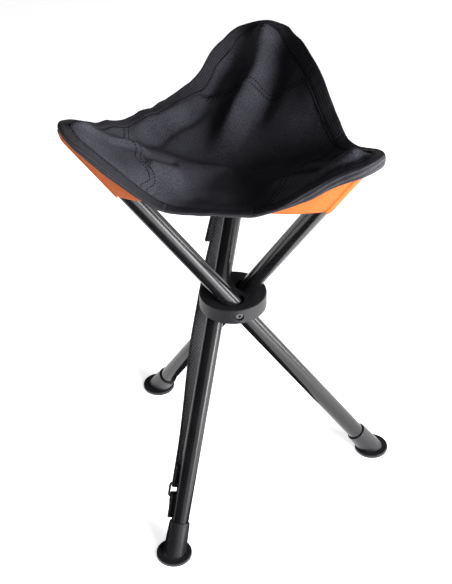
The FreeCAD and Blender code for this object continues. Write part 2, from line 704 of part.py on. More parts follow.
def tab_screw():
    """Screw through the washer and the tab into the tube wall."""
    head = tab_screw_hole(TAB_SCREW_HEAD / 2, WASHER_FACE, WASHER_FACE + TAB_SCREW_HEAD_HEIGHT)
    shaft = tab_screw_hole(TAB_SCREW_DIAMETER / 2, BORE_RADIUS - TAB_SCREW_DEPTH, WASHER_FACE)
    return head.fuse(shaft).removeSplitter()


# The whole stool


def floor_centre():
    """Middle of the floor space, taken over the feet and the seat corners."""
    spans_x = []
    spans_y = []
    foot_reach = math.hypot(PIVOT_RADIUS, PIVOT_HEIGHT * math.tan(TILT))
    foot_turn = math.degrees(math.atan2(PIVOT_HEIGHT * math.tan(TILT), PIVOT_RADIUS))
    for name in LEG_NAMES:
        rounds = (
            (foot_reach, pivot_azimuth(name) + foot_turn, FLANGE_DIAMETER / 2),
            (CORNER_CENTRE, CORNER_AZIMUTHS[name], CORNER_RADIUS),
        )
        for reach, azimuth, radius in rounds:
            x = reach * math.cos(math.radians(azimuth))
            y = reach * math.sin(math.radians(azimuth))
            spans_x += [x - radius, x + radius]
            spans_y += [y - radius, y + radius]
    return Vector((min(spans_x) + max(spans_x)) / 2, (min(spans_y) + max(spans_y)) / 2, 0)


def leg_parts(name):
    """Everything that turns with one leg."""
    return {
        f"leg_tube_{name}": on_leg(leg_tube_for(name), name),
        f"pivot_bush_{name}": on_leg(pivot_bush(), name),
        f"top_plug_{name}": on_leg(top_plug(), name),
        f"foot_cap_{name}": foot_cap(name),
    }


def leg_tube_for(name):
    """Leg tube, with the screw hole of the strap's tab in the back one."""
    tube = leg_tube()
    if name == "back":
        tube = tube.cut(tab_screw_hole(TAB_SCREW_DIAMETER / 2, 0, TUBE_DIAMETER))
    return tube


def pivot_parts(name):
    """Screw and insert of one pivot, fixed in the hub."""
    return {
        f"pivot_screw_{name}": turned(pivot_screw(), pivot_azimuth(name)),
        f"screw_insert_{name}": turned(screw_insert(), pivot_azimuth(name)),
    }


def corner_parts(name):
    """Cloth of one seat corner."""
    return {
        f"corner_panel_{name}": corner_panel(name),
        f"corner_binding_{name}": corner_binding(name),
        f"leg_pocket_{name}": leg_pocket(name),
    }


def strap_parts():
    """Carry strap and its fittings, all on the back leg."""
    parts = {
        "carry_strap": carry_strap(),
        "strap_tail": strap_tail(),
        "strap_ring": strap_ring(),
        "strap_tab": strap_tab(),
        "tab_washer": tab_washer(),
        "tab_screw": tab_screw(),
    }
    return {node: on_leg(shape, "back") for node, shape in parts.items()}


def stool():
    """All nodes by name, with the origin in the middle of the floor space."""
    nodes = {"hub_body": hub_body(), "seat_panel": seat_panel()}
    for edge in EDGE_AZIMUTHS:
        nodes[f"edge_binding_{edge}"] = edge_binding(edge)
    for name in LEG_NAMES:
        nodes.update(leg_parts(name))
        nodes.update(pivot_parts(name))
        nodes.update(corner_parts(name))
    nodes.update(strap_parts())
    shift = floor_centre() * -1
    for shape in nodes.values():
        shape.translate(shift)
    return nodes


def main():
    """Write one STEP file for each node."""
    os.makedirs("parts", exist_ok=True)
    for node, shape in stool().items():
        shape.exportStep(f"parts/{node}.step")
        print(node, len(shape.Solids), shape.isValid(), round(shape.Volume, 1))


main()
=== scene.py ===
import logging
import math
from dataclasses import dataclass
from enum import Enum

import bpy
import numpy as np
from mathutils import Matrix, Vector, noise


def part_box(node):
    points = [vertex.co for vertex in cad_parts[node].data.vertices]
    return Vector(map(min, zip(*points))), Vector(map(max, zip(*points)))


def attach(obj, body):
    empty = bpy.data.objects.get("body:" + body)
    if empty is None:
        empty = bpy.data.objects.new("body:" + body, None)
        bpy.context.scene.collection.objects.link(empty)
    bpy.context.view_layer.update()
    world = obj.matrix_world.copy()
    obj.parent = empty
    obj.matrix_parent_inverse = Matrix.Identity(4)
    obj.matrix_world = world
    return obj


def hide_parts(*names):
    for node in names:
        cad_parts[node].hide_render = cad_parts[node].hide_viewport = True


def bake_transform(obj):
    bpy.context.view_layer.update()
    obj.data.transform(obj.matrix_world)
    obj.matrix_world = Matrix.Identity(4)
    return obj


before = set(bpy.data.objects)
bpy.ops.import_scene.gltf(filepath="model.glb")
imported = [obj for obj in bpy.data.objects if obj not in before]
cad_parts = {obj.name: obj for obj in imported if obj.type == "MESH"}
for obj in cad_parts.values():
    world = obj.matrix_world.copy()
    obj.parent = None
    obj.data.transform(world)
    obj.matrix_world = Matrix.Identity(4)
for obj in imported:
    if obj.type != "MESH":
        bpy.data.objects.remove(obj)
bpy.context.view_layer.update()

log = logging.getLogger("tripod_stool")

Colour = tuple[float, float, float]
Material = bpy.types.Material
Piece = bpy.types.Object
Point = tuple[float, float, float]
Socket = bpy.types.NodeSocket

LOW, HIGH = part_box("hub_body")
HUB_AXIS = np.array([(LOW.x + HIGH.x) / 2, (LOW.y + HIGH.y) / 2])
# All lengths are in metres
CLOTH_THICKNESS = 0.0010
TUBE_RADIUS = 0.0095
LEG_TILT = math.radians(34.4)
# Degrees from a corner of the seat to the middle of an edge
CORNER_TO_EDGE = 60.0
HALF_CORNER = math.radians(CORNER_TO_EDGE)
# Degrees from a corner's direction to the pivot of its leg
PIVOT_TURN = 84.12
# Bands of the Wave node repeat after 2 pi / 20 at a scale of 1
WAVE_UNIT = 20.0
FINE_DETAIL = 3.0


class Corner(Enum):
    """A corner of the seat, by its direction from the hub axis in degrees."""

    LEFT = 210.0
    BACK = 90.0
    RIGHT = 330.0

    @property
    def label(self) -> str:
        """The corner's name in the CAD nodes and bodies."""
        return self.name.lower()

    @property
    def body(self) -> str:
        """The CAD body of this corner's cloth."""
        return f"corner_{self.label}"

    @property
    def tube(self) -> str:
        """The CAD node of the leg tube under this corner."""
        return f"leg_tube_{self.label}"


class Edge(Enum):
    """An edge of the seat, by the direction of its middle from the hub axis in degrees."""

    FRONT = 270.0
    LEFT = 150.0
    RIGHT = 30.0

    @property
    def label(self) -> str:
        """The edge's name in the CAD nodes."""
        return self.name.lower()


def ease(share: np.ndarray) -> np.ndarray:
    """Smooth step from 0 to 1, level at both ends."""
    share = np.clip(share, 0.0, 1.0)
    return share * share * (3 - 2 * share)


def lengths(points: np.ndarray) -> np.ndarray:
    """Distance along a row of points, from the first one."""
    return np.concatenate([[0.0], np.cumsum(np.linalg.norm(np.diff(points, axis=0), axis=1))])


def along_and_around(run: np.ndarray, around: np.ndarray) -> np.ndarray:
    """Surface coordinates of a band, from distances along it and round its section."""
    return np.stack(np.broadcast_arrays(run[:, None], around[None, :]), axis=-1)


# Finishes


class Nodes:
    """The node tree of a material or world, with short ways to add and join nodes."""

    def __init__(self, owner: bpy.types.ID, shader: str = "Principled BSDF") -> None:
        """Starts from the default tree.

        Args:
            owner: a new material or world.
            shader: name of the shader in its default tree.
        """
        owner.use_nodes = True
        self.owner = owner
        self.tree = owner.node_tree
        self.shader = self.tree.nodes[shader]

    def add(self, kind: str, **settings: object) -> bpy.types.Node:
        """Adds a node and sets its properties.

        Args:
            kind: the node's type without the ShaderNode prefix.
            settings: properties of the node.

        Returns:
            The new node.
        """
        node = self.tree.nodes.new("ShaderNode" + kind)
        for key, value in settings.items():
            setattr(node, key, value)
        return node

    def link(self, source: Socket, target: Socket) -> None:
        """Joins two sockets."""
        self.tree.links.new(source, target)

    def set(self, **values: object) -> None:
        """Sets the shader's own sockets, with underscores for spaces in their names."""
        for key, value in values.items():
            self.shader.inputs[key.replace("_", " ")].default_value = value

    def surface(self, attribute: str, turn: float = 0.0) -> Socket:
        """Coordinates for a pattern.

        Args:
            attribute: "UV" or "Object".
            turn: degrees that the pattern is turned by.

        Returns:
            The coordinates.
        """
        source = self.add("TexCoord").outputs[attribute]
        if not turn:
            return source
        mapping = self.add("Mapping")
        mapping.inputs["Rotation"].default_value = (0.0, 0.0, math.radians(turn))
        self.link(source, mapping.inputs["Vector"])
        return mapping.outputs["Vector"]

    def wave(self, where: Socket, pitch: float, direction: str) -> Socket:
        """Even bands.

        Args:
            where: coordinates.
            pitch: distance from band to band.
            direction: "X" or "Y", across the bands.

        Returns:
            A value from 0 to 1.
        """
        bands = self.add("TexWave", wave_type="BANDS", bands_direction=direction, wave_profile="SIN")
        bands.inputs["Scale"].default_value = 2 * math.pi / (WAVE_UNIT * pitch)
        self.link(where, bands.inputs["Vector"])
        return bands.outputs["Fac"]

    def speckle(self, where: Socket, size: float, detail: float = 2.0) -> Socket:
        """Noise in spots.

        Args:
            where: coordinates.
            size: about the size of a spot.
            detail: how much finer noise is added.

        Returns:
            A value from 0 to 1.
        """
        spots = self.add("TexNoise")
        spots.inputs["Scale"].default_value = 1.0 / size
        spots.inputs["Detail"].default_value = detail
        self.link(where, spots.inputs["Vector"])
        return spots.outputs["Fac"]

    def combine(self, operation: str, first: object, second: object) -> Socket:
        """One step of arithmetic.

        Args:
            operation: the Math node's operation.
            first: a socket or a number.
            second: a socket or a number.

        Returns:
            The result.
        """
        node = self.add("Math", operation=operation)
        for socket, value in zip(node.inputs, (first, second)):
            if isinstance(value, (int, float)):
                socket.default_value = value
            else:
                self.link(value, socket)
        return node.outputs[0]

    def mixed(self, *parts: tuple[Socket, float]) -> Socket:
        """Sum of values, each times its share.

        Args:
            parts: each value and its share.

        Returns:
            The sum.
        """
        total, *others = [self.combine("MULTIPLY", socket, share) for socket, share in parts]
        for part in others:
            total = self.combine("ADD", total, part)
        return total

    def tint(self, share: Socket, dark: Colour, light: Colour) -> None:
        """Colours the shader between two colours.

        Args:
            share: a value from 0 to 1.
            dark: colour at 0.
            light: colour at 1.
        """
        mix = self.add("Mix", data_type="RGBA")
        mix.inputs["A"].default_value = (*dark, 1.0)
        mix.inputs["B"].default_value = (*light, 1.0)
        self.link(share, mix.inputs["Factor"])
        self.link(mix.outputs["Result"], self.shader.inputs["Base Color"])

    def rough(self, share: Socket, low: float, high: float) -> None:
        """Varies the shader's roughness.

        Args:
            share: a value from 0 to 1.
            low: roughness at 0.
            high: roughness at 1.
        """
        spread = self.combine("MULTIPLY_ADD", share, high - low)
        spread.node.inputs[2].default_value = low
        self.link(spread, self.shader.inputs["Roughness"])

    def bump(self, height: Socket, depth: float) -> None:
        """Gives the shader a bump.

        Args:
            height: a value from 0 to 1.
            depth: the bump's depth.
        """
        node = self.add("Bump")
        node.inputs["Distance"].default_value = depth
        node.inputs["Strength"].default_value = 1.0
        self.link(height, node.inputs["Height"])
        self.link(node.outputs["Normal"], self.shader.inputs["Normal"])

    def seen(self) -> Socket:
        """Tells rays that show things from rays that light them.

        Returns:
            1 for camera, glossy and transmission rays, and 0 for others.
        """
        path = self.add("LightPath").outputs
        seen = self.combine("MAXIMUM", path["Is Camera Ray"], path["Is Glossy Ray"])
        return self.combine("MAXIMUM", seen, path["Is Transmission Ray"])


@dataclass(frozen=True)
class WovenCloth:
    """Plain woven polyester cloth, coloured between two shades."""

    name: str
    dark: Colour
    light: Colour
    shine: float
    pitch: float = 0.0012
    depth: float = 0.00022
    slub_size: float = 0.0016
    slub_middle: float = 0.36
    slub_gain: float = 2.4
    slub_bump: float = 0.25
    wear_size: float = 0.03
    wear_middle: float = 0.5
    shares: tuple[float, float, float] = (0.45, 0.45, 0.5)
    gloss: tuple[float, float] = (0.50, 0.72)

    def make(self) -> Material:
        """Builds the material: crossing threads, uneven dye and a soft sheen.

        Returns:
            The material.
        """
        nodes = Nodes(bpy.data.materials.new(self.name))
        cloth = nodes.surface("UV")
        warp = nodes.wave(cloth, self.pitch, "X")
        weft = nodes.wave(cloth, self.pitch, "Y")
        threads = nodes.combine("MULTIPLY", warp, weft)
        slub = nodes.speckle(cloth, self.slub_size, FINE_DETAIL)
        dye = nodes.combine("MULTIPLY", nodes.combine("SUBTRACT", slub, self.slub_middle), self.slub_gain)
        wear = nodes.combine("SUBTRACT", nodes.speckle(cloth, self.wear_size, FINE_DETAIL), self.wear_middle)
        nodes.tint(nodes.mixed(*zip((threads, dye, wear), self.shares)), self.dark, self.light)
        nodes.rough(slub, *self.gloss)
        nodes.set(Specular_IOR_Level=self.shine)
        nodes.bump(nodes.mixed((threads, 1.0), (slub, self.slub_bump)), self.depth)
        return nodes.owner


@dataclass(frozen=True)
class NarrowWeave:
    """Tape or webbing: strong lines, crossed by fine threads. Turns are in degrees."""

    name: str
    dark: Colour
    light: Colour
    lines: tuple[float, str]
    line_turn: float
    threads: tuple[float, str]
    thread_turn: float
    line_share: float
    slub_size: float
    gloss: tuple[float, float]
    depth: float
    shine: float = 0.45

    def make(self) -> Material:
        """Builds the material: two sets of lines with a pitch and a direction each, and uneven thread.

        Returns:
            The material.
        """
        nodes = Nodes(bpy.data.materials.new(self.name))
        lines = nodes.wave(nodes.surface("UV", self.line_turn), *self.lines)
        threads = nodes.wave(nodes.surface("UV", self.thread_turn), *self.threads)
        slub = nodes.speckle(nodes.surface("UV", self.thread_turn), self.slub_size, FINE_DETAIL)
        weave = nodes.mixed((lines, self.line_share), (threads, 1 - self.line_share))
        nodes.tint(nodes.combine("MULTIPLY", weave, slub), self.dark, self.light)
        nodes.rough(slub, *self.gloss)
        nodes.set(Specular_IOR_Level=self.shine)
        nodes.bump(weave, self.depth)
        return nodes.owner


@dataclass(frozen=True)
class HardFinish:
    """Paint, plastic or metal: a base colour, a gloss and a fine grain."""

    name: str
    dark: Colour
    light: Colour
    gloss: tuple[float, float]
    specular: float = 0.5
    metallic: float = 0.0
    depth: float = 0.00002
    grain_size: float = 0.0012
    blotch_size: float = 0.035
    tone_base: float = 0.35
    gloss_base: float = 0.4

    def make(self) -> Material:
        """Builds the material: faint blotches, a grain in the gloss and a fine bump.

        Returns:
            The material.
        """
        nodes = Nodes(bpy.data.materials.new(self.name))
        place = nodes.surface("Object")
        blotch = nodes.speckle(place, self.blotch_size, FINE_DETAIL)
        grain = nodes.speckle(place, self.grain_size)
        tone = nodes.combine("MULTIPLY", blotch, nodes.combine("ADD", grain, self.tone_base))
        sheen = nodes.combine("MULTIPLY", blotch, nodes.combine("ADD", grain, self.gloss_base))
        nodes.tint(tone, self.dark, self.light)
        nodes.rough(sheen, *self.gloss)
        nodes.set(Metallic=self.metallic, Specular_IOR_Level=self.specular)
        nodes.bump(grain, self.depth)
        return nodes.owner


@dataclass(frozen=True)
class SewingThread:
    """Twisted black thread, darker than the cloth: its own black with painted shade of the seam's groove."""

    name: str = "sewing_thread"
    # Darker than the cloth's darkest shade: black thread plus painted shade where the stitches sink in
    dark: Colour = (0.002, 0.002, 0.0024)
    light: Colour = (0.009, 0.009, 0.010)
    twist_size: float = 0.0006
    gloss: tuple[float, float] = (0.55, 0.75)
    shine: float = 0.12
    depth: float = 0.0001

    def make(self) -> Material:
        """Builds the material: a slight sheen and a fine twist.

        Returns:
            The material.
        """
        nodes = Nodes(bpy.data.materials.new(self.name))
        twist = nodes.speckle(nodes.surface("Object"), self.twist_size)
        nodes.tint(twist, self.dark, self.light)
        nodes.rough(twist, *self.gloss)
        nodes.set(Specular_IOR_Level=self.shine)
        nodes.bump(twist, self.depth)
        return nodes.owner


class Finishes:
    """All materials of the stool, made once."""

    def __init__(self) -> None:
        """Makes each finish."""
        self.cloth = WovenCloth("seat_cloth", (0.016, 0.016, 0.0195), (0.098, 0.098, 0.118), 0.2).make()
        self.pocket = WovenCloth("pocket_cloth", (0.45, 0.086, 0.014), (0.66, 0.172, 0.042), 0.15).make()
        self.tape = NarrowWeave(
            "ribbed_tape", (0.006, 0.006, 0.0075), (0.066, 0.066, 0.078), lines=(0.0018, "Y"), line_turn=2.0,
            threads=(0.0009, "X"), thread_turn=2.0, line_share=0.75, slub_size=0.004, gloss=(0.6, 0.85),
            depth=0.00026,
        ).make()
        self.webbing = NarrowWeave(
            "twill_webbing", (0.006, 0.006, 0.008), (0.150, 0.150, 0.178), lines=(0.0026, "X"),
            line_turn=38.0, threads=(0.0012, "Y"), thread_turn=0.0, line_share=0.7, slub_size=0.003,
            gloss=(0.5, 0.75), depth=0.00035,
        ).make()
        self.thread = SewingThread().make()
        self.tube = HardFinish(
            "tube_coat", (0.0035, 0.0035, 0.0042), (0.009, 0.009, 0.010), (0.16, 0.26), depth=0.000008
        ).make()
        moulded = (0.004, 0.004, 0.005)
        self.hub = HardFinish("hub_plastic", moulded, (0.020, 0.020, 0.023), (0.36, 0.50), 0.45).make()
        self.foot = HardFinish("foot_plastic", moulded, (0.018, 0.018, 0.021), (0.28, 0.42)).make()
        self.bush = HardFinish("bush_plastic", (0.55, 0.55, 0.53), (0.72, 0.72, 0.70), (0.4, 0.55)).make()
        self.steel = HardFinish(
            "plated_steel", (0.10, 0.10, 0.105), (0.24, 0.24, 0.25), (0.25, 0.42), metallic=1.0
        ).make()
        self.wire = HardFinish("ring_wire", (0.01, 0.01, 0.011), (0.03, 0.03, 0.032), (0.2, 0.35)).make()
        self.brass = HardFinish(
            "turned_brass", (0.55, 0.38, 0.12), (0.75, 0.56, 0.22), (0.25, 0.4), metallic=1.0
        ).make()


# Seat form


@dataclass(frozen=True)
class Fold:
    """A soft fold in the cloth that follows a line, given from the hub axis."""

    spine: tuple[tuple[float, float], ...]
    rise: float
    width: float
    end_share: float = 0.12
    count: int = 41

    def line(self) -> np.ndarray:
        """Draws a smooth curve through the spine.

        Returns:
            Plan positions on it, one row each.
        """
        knots = np.array(self.spine)
        padded = np.vstack([2 * knots[0] - knots[1], knots, 2 * knots[-1] - knots[-2]])
        place = np.linspace(0, len(knots) - 1 - 1e-9, self.count)
        first = place.astype(int)
        t = (place - first)[:, None]
        a, b, c, d = (padded[first + step] for step in range(4))
        cubic = 3 * b - a - 3 * c + d
        return b + 0.5 * t * (c - a + t * (2 * a - 5 * b + 4 * c - d + t * cubic))

    def lift(self, plan: np.ndarray) -> np.ndarray:
        """Height that the fold adds, which tapers off in the line's first and last quarter.

        Args:
            plan: plan positions, one row each.

        Returns:
            Heights.
        """
        gaps = np.linalg.norm(plan[:, None, :] - self.line()[None, :, :], axis=2)
        place = gaps.argmin(axis=1) / (self.count - 1)
        taper = ease(np.minimum(place, 1 - place) * 4)
        distance = gaps.min(axis=1) / self.width
        return self.rise * np.exp(-distance ** 2) * (self.end_share + (1 - self.end_share) * taper)


@dataclass(frozen=True)
class SeatForm:
    """The hanging three-cornered seat: where its cloth lies, from the hub axis and the floor."""

    folds: tuple[Fold, ...]
    tip_radius: float = 0.17599
    corner_radius: float = 0.030
    top_radius: float = 0.15619
    top_height: float = 0.46491
    corner_height: float = 0.47591
    centre_height: float = 0.39991
    edge_climb: float = 2.0
    corner_climb: float = 1.25
    ridge_inset: float = 0.006
    ridge_length: float = 0.020
    ridge_width: float = 0.022
    ridge_crown: float = 0.47681
    seam: float = 0.08799
    cloth_inset: float = 0.007
    sags: tuple[float, float, float] = (0.0665, 0.040, 0.018)
    skews: tuple[float, float, float] = (0.010, 0.027, 0.060)
    rising: tuple[float, float, float] = (1.0, -1.0, 1.0)
    wrinkles: tuple[tuple[float, float], ...] = ((0.0007, 0.024), (0.00035, 0.010))
    wrinkle_layer: float = 3.7

    @property
    def edge_distance(self) -> float:
        """Distance from the hub axis to a straight edge."""
        return (self.tip_radius + self.corner_radius) / 2

    def tip_end(self, clearance: float) -> float:
        """Distance from the hub axis to the end of the cloth at a corner's tip, less a clearance."""
        inset = self.cloth_inset
        return 2 * (self.edge_distance - inset) - (self.corner_radius - inset) - clearance

    def reach(self, azimuth: np.ndarray) -> np.ndarray:
        """Distance from the hub axis to the outer edge.

        Args:
            azimuth: directions in degrees.

        Returns:
            Distances.
        """
        turn = np.radians(azimuth - Corner.BACK.value) + HALF_CORNER
        off = np.abs(turn % (2 * HALF_CORNER) - HALF_CORNER)
        radius = self.corner_radius
        centre = self.tip_radius - radius
        round_end = math.atan2(radius * math.sin(HALF_CORNER), centre + radius * math.cos(HALF_CORNER))
        straight = self.edge_distance / np.cos(HALF_CORNER - off)
        side = np.minimum(centre * np.sin(off), radius)
        rounded = centre * np.cos(off) + np.sqrt(radius ** 2 - side ** 2)
        return np.where(off >= round_end, straight, rounded)

    def half_width(self, along: np.ndarray, inset: float) -> np.ndarray:
        """Half the width of a corner, for an outline inside the edge.

        Args:
            along: distances from the hub axis along the corner.
            inset: how far inside the outer edge the outline lies.

        Returns:
            Half widths.
        """
        edge = self.edge_distance - inset
        radius = self.corner_radius - inset
        centre = 2 * (edge - radius)
        straight = (2 * edge - along) / math.tan(HALF_CORNER)
        rounded = np.sqrt(np.maximum(radius ** 2 - (along - centre) ** 2, 0.0))
        return np.where(along <= centre + radius / 2, straight, rounded)

    def ridge(self, plan: np.ndarray) -> np.ndarray:
        """Ridges over the leg tops.

        Args:
            plan: plan positions, one row each.

        Returns:
            Shares of the ridges' height.
        """
        total = np.zeros(len(plan))
        for corner in Corner:
            along, across = self.to_corner(corner, plan)
            lengthwise = (along - self.top_radius + self.ridge_inset) / self.ridge_length
            total += np.exp(-lengthwise ** 2 - (across / self.ridge_width) ** 2)
        return total

    def smooth(self, plan: np.ndarray) -> np.ndarray:
        """Height of the cloth without ridges, folds and wrinkles.

        Args:
            plan: plan positions, one row each.

        Returns:
            Heights.
        """
        distance = np.hypot(plan[:, 0], plan[:, 1])
        azimuth = np.degrees(np.arctan2(plan[:, 1], plan[:, 0]))
        share = (1 + np.cos(np.radians(len(Corner) * (azimuth - Corner.BACK.value)))) / 2
        rim = np.full(len(plan), self.corner_height)
        for edge, sag, skew, rising in zip(Edge, self.sags, self.skews, self.rising):
            angle = (azimuth - edge.value + 180) % 360 - 180
            place = rising * angle / CORNER_TO_EDGE
            height = -sag * (1 - share ** 3) + skew * place * (1 - place ** 2) ** 2
            rim += np.where(np.abs(angle) <= CORNER_TO_EDGE, height, 0.0)
        climb = self.edge_climb + (self.corner_climb - self.edge_climb) * share
        return self.centre_height + (rim - self.centre_height) * (distance / self.reach(azimuth)) ** climb

    def height(self, plan: np.ndarray) -> np.ndarray:
        """Height of the cloth's top.

        Args:
            plan: plan positions, one row each.

        Returns:
            Heights.
        """
        top = np.array([[0.0, self.top_radius]])
        rise = (self.ridge_crown - self.smooth(top)[0]) / self.ridge(top)[0]
        total = self.smooth(plan) + rise * self.ridge(plan)
        for fold in self.folds:
            total = total + fold.lift(plan)
        for depth, size in self.wrinkles:
            total = total + depth * self.ripple(plan, size)
        return total

    def ripple(self, plan: np.ndarray, size: float) -> np.ndarray:
        """Smooth noise of about a size, the same on each run."""
        return np.array([noise.noise(Vector((x / size, y / size, self.wrinkle_layer))) for x, y in plan])

    @staticmethod
    def to_corner(corner: Corner, plan: np.ndarray) -> tuple[np.ndarray, np.ndarray]:
        """Turns plan positions into a corner's own.

        Args:
            corner: the corner.
            plan: plan positions, one row each.

        Returns:
            Distances along and across the corner's direction.
        """
        angle = math.radians(corner.value)
        along = plan[:, 0] * math.cos(angle) + plan[:, 1] * math.sin(angle)
        across = plan[:, 1] * math.cos(angle) - plan[:, 0] * math.sin(angle)
        return along, across

    @staticmethod
    def from_corner(corner: Corner, along: np.ndarray, across: np.ndarray) -> np.ndarray:
        """Turns a corner's own positions into plan positions.

        Args:
            corner: the corner.
            along: distances along the corner's direction.
            across: distances across it.

        Returns:
            Plan positions.
        """
        angle = math.radians(corner.value)
        x = along * math.cos(angle) - across * math.sin(angle)
        y = along * math.sin(angle) + across * math.cos(angle)
        return np.stack([x, y], axis=-1)

    def points(self, plan: np.ndarray, raised: float | np.ndarray = 0.0) -> np.ndarray:
        """Points in the CAD frame, on the cloth or above it.

        Args:
            plan: plan positions in any layout.
            raised: height above the top of the cloth.

        Returns:
            Points in the same layout.
        """
        layout = plan.shape[:-1]
        height = self.height(plan.reshape(-1, 2)) + np.ravel(np.broadcast_to(raised, layout))
        return np.concatenate([plan + HUB_AXIS, height.reshape(layout)[..., None]], axis=-1)


# Meshes


def place_object(name: str, data: bpy.types.ID) -> Piece:
    """Adds an object to the scene.

    Args:
        name: the object's name.
        data: its mesh, curve, lamp or camera.

    Returns:
        The object.
    """
    made = bpy.data.objects.new(name, data)
    bpy.context.scene.collection.objects.link(made)
    return made


def smooth_shaded(mesh: bpy.types.Mesh) -> None:
    """Shades all faces of a mesh smooth."""
    mesh.polygons.foreach_set("use_smooth", np.ones(len(mesh.polygons), dtype=bool))


def piece(name: str, verts: np.ndarray, faces: list, uv: np.ndarray, material: Material) -> Piece:
    """Makes an object at the origin from points in the CAD frame.

    Args:
        name: the piece's name.
        verts: points, one row each.
        faces: corner numbers of each face.
        uv: surface coordinates, one row for each point.
        material: the piece's finish.

    Returns:
        The new object, smooth shaded.
    """
    mesh = bpy.data.meshes.new(name)
    mesh.from_pydata(verts.tolist(), [], faces)
    layer = mesh.uv_layers.new(name="surface")
    corners = np.zeros(len(mesh.loops), dtype=int)
    mesh.loops.foreach_get("vertex_index", corners)
    layer.data.foreach_set("uv", uv[corners].astype(np.float32).ravel())
    smooth_shaded(mesh)
    mesh.materials.append(material)
    mesh.update()
    return place_object(name, mesh)


def outward(made: Piece) -> Piece:
    """Turns a closed piece's faces outward, by the volume that they enclose.

    Args:
        made: the piece.

    Returns:
        The same piece.
    """
    mesh = made.data
    mesh.calc_loop_triangles()
    volume = 0.0
    for triangle in mesh.loop_triangles:
        a, b, c = (mesh.vertices[i].co for i in triangle.vertices)
        volume += a.dot(b.cross(c))
    if volume < 0:
        mesh.flip_normals()
    return made


def grid_faces(rows: int, cols: int, start: int, flip: bool) -> list:
    """Faces of a grid of points, row after row.

    Args:
        rows: rows of points.
        cols: points in a row.
        start: number of the first point.
        flip: whether the faces turn the other way.

    Returns:
        Point numbers of each face.
    """
    faces = []
    for i in range(rows - 1):
        for j in range(cols - 1):
            a = start + i * cols + j
            quad = (a, a + 1, a + cols + 1, a + cols)
            faces.append(quad[::-1] if flip else quad)
    return faces


def shell(name: str, top: np.ndarray, below: np.ndarray, uv: np.ndarray, material: Material) -> Piece:
    """Closed sheet between two grids of points.

    Args:
        name: the piece's name.
        top: grid of points on the upper side.
        below: grid of points on the lower side.
        uv: surface coordinates of the grid.
        material: the piece's finish.

    Returns:
        The new object.
    """
    rows, cols = top.shape[:2]
    count = rows * cols
    across = top[0, -1] - top[0, 0]
    along = top[-1, 0] - top[0, 0]
    flip = np.cross(across, along)[2] < 0
    faces = grid_faces(rows, cols, 0, flip) + grid_faces(rows, cols, count, not flip)
    grid = np.arange(count).reshape(rows, cols)
    border = [*grid[0], *grid[1:, -1], *grid[-1, -2::-1], *grid[-2:0:-1, 0]]
    border = [int(number) for number in border]
    for a, b in zip(border, border[1:] + border[:1]):
        quad = (a, a + count, b + count, b)
        faces.append(quad[::-1] if flip else quad)
    verts = np.vstack([top.reshape(-1, 3), below.reshape(-1, 3)])
    return piece(name, verts, faces, np.vstack([uv.reshape(-1, 2)] * 2), material)


def sweep(name: str, rings: np.ndarray, uv: np.ndarray, material: Material) -> Piece:
    """Closed band through a row of rings of points, with flat ends.

    Args:
        name: the piece's name.
        rings: one closed ring of points for each station.
        uv: surface coordinates of the rings.
        material: the piece's finish.

    Returns:
        The new object, with its faces outward.
    """
    count, ring = rings.shape[:2]
    faces = []
    for i in range(count - 1):
        for j in range(ring):
            k = (j + 1) % ring
            faces.append((i * ring + j, i * ring + k, (i + 1) * ring + k, (i + 1) * ring + j))
    faces.append(tuple(range(ring))[::-1])
    faces.append(tuple((count - 1) * ring + j for j in range(ring)))
    middle = rings.mean(axis=1)
    first = rings[0, 0] - middle[0]
    second = rings[0, 1] - middle[0]
    if np.dot(np.cross(first, second), middle[1] - middle[0]) < 0:
        faces = [face[::-1] for face in faces]
    return outward(piece(name, rings.reshape(-1, 3), faces, uv.reshape(-1, 2), material))


def declare_sheet(made: Piece, top: np.ndarray) -> None:
    """Logs the size that a stretched cloth piece is cut to, as its face measures, and its area.

    Args:
        made: the cloth piece.
        top: grid of points on its upper face.
    """
    width = max(lengths(row)[-1] for row in top)
    length = max(lengths(column)[-1] for column in top.swapaxes(0, 1))
    first = np.cross(top[1:, :-1] - top[:-1, :-1], top[:-1, 1:] - top[:-1, :-1])
    second = np.cross(top[1:, :-1] - top[1:, 1:], top[:-1, 1:] - top[1:, 1:])
    area = float(np.linalg.norm(first, axis=2).sum() + np.linalg.norm(second, axis=2).sum()) / 2
    area = min(area, width * length)
    log.info("%s: cut %.3f x %.3f m, %.4f square metres", made.name, width, length, area)


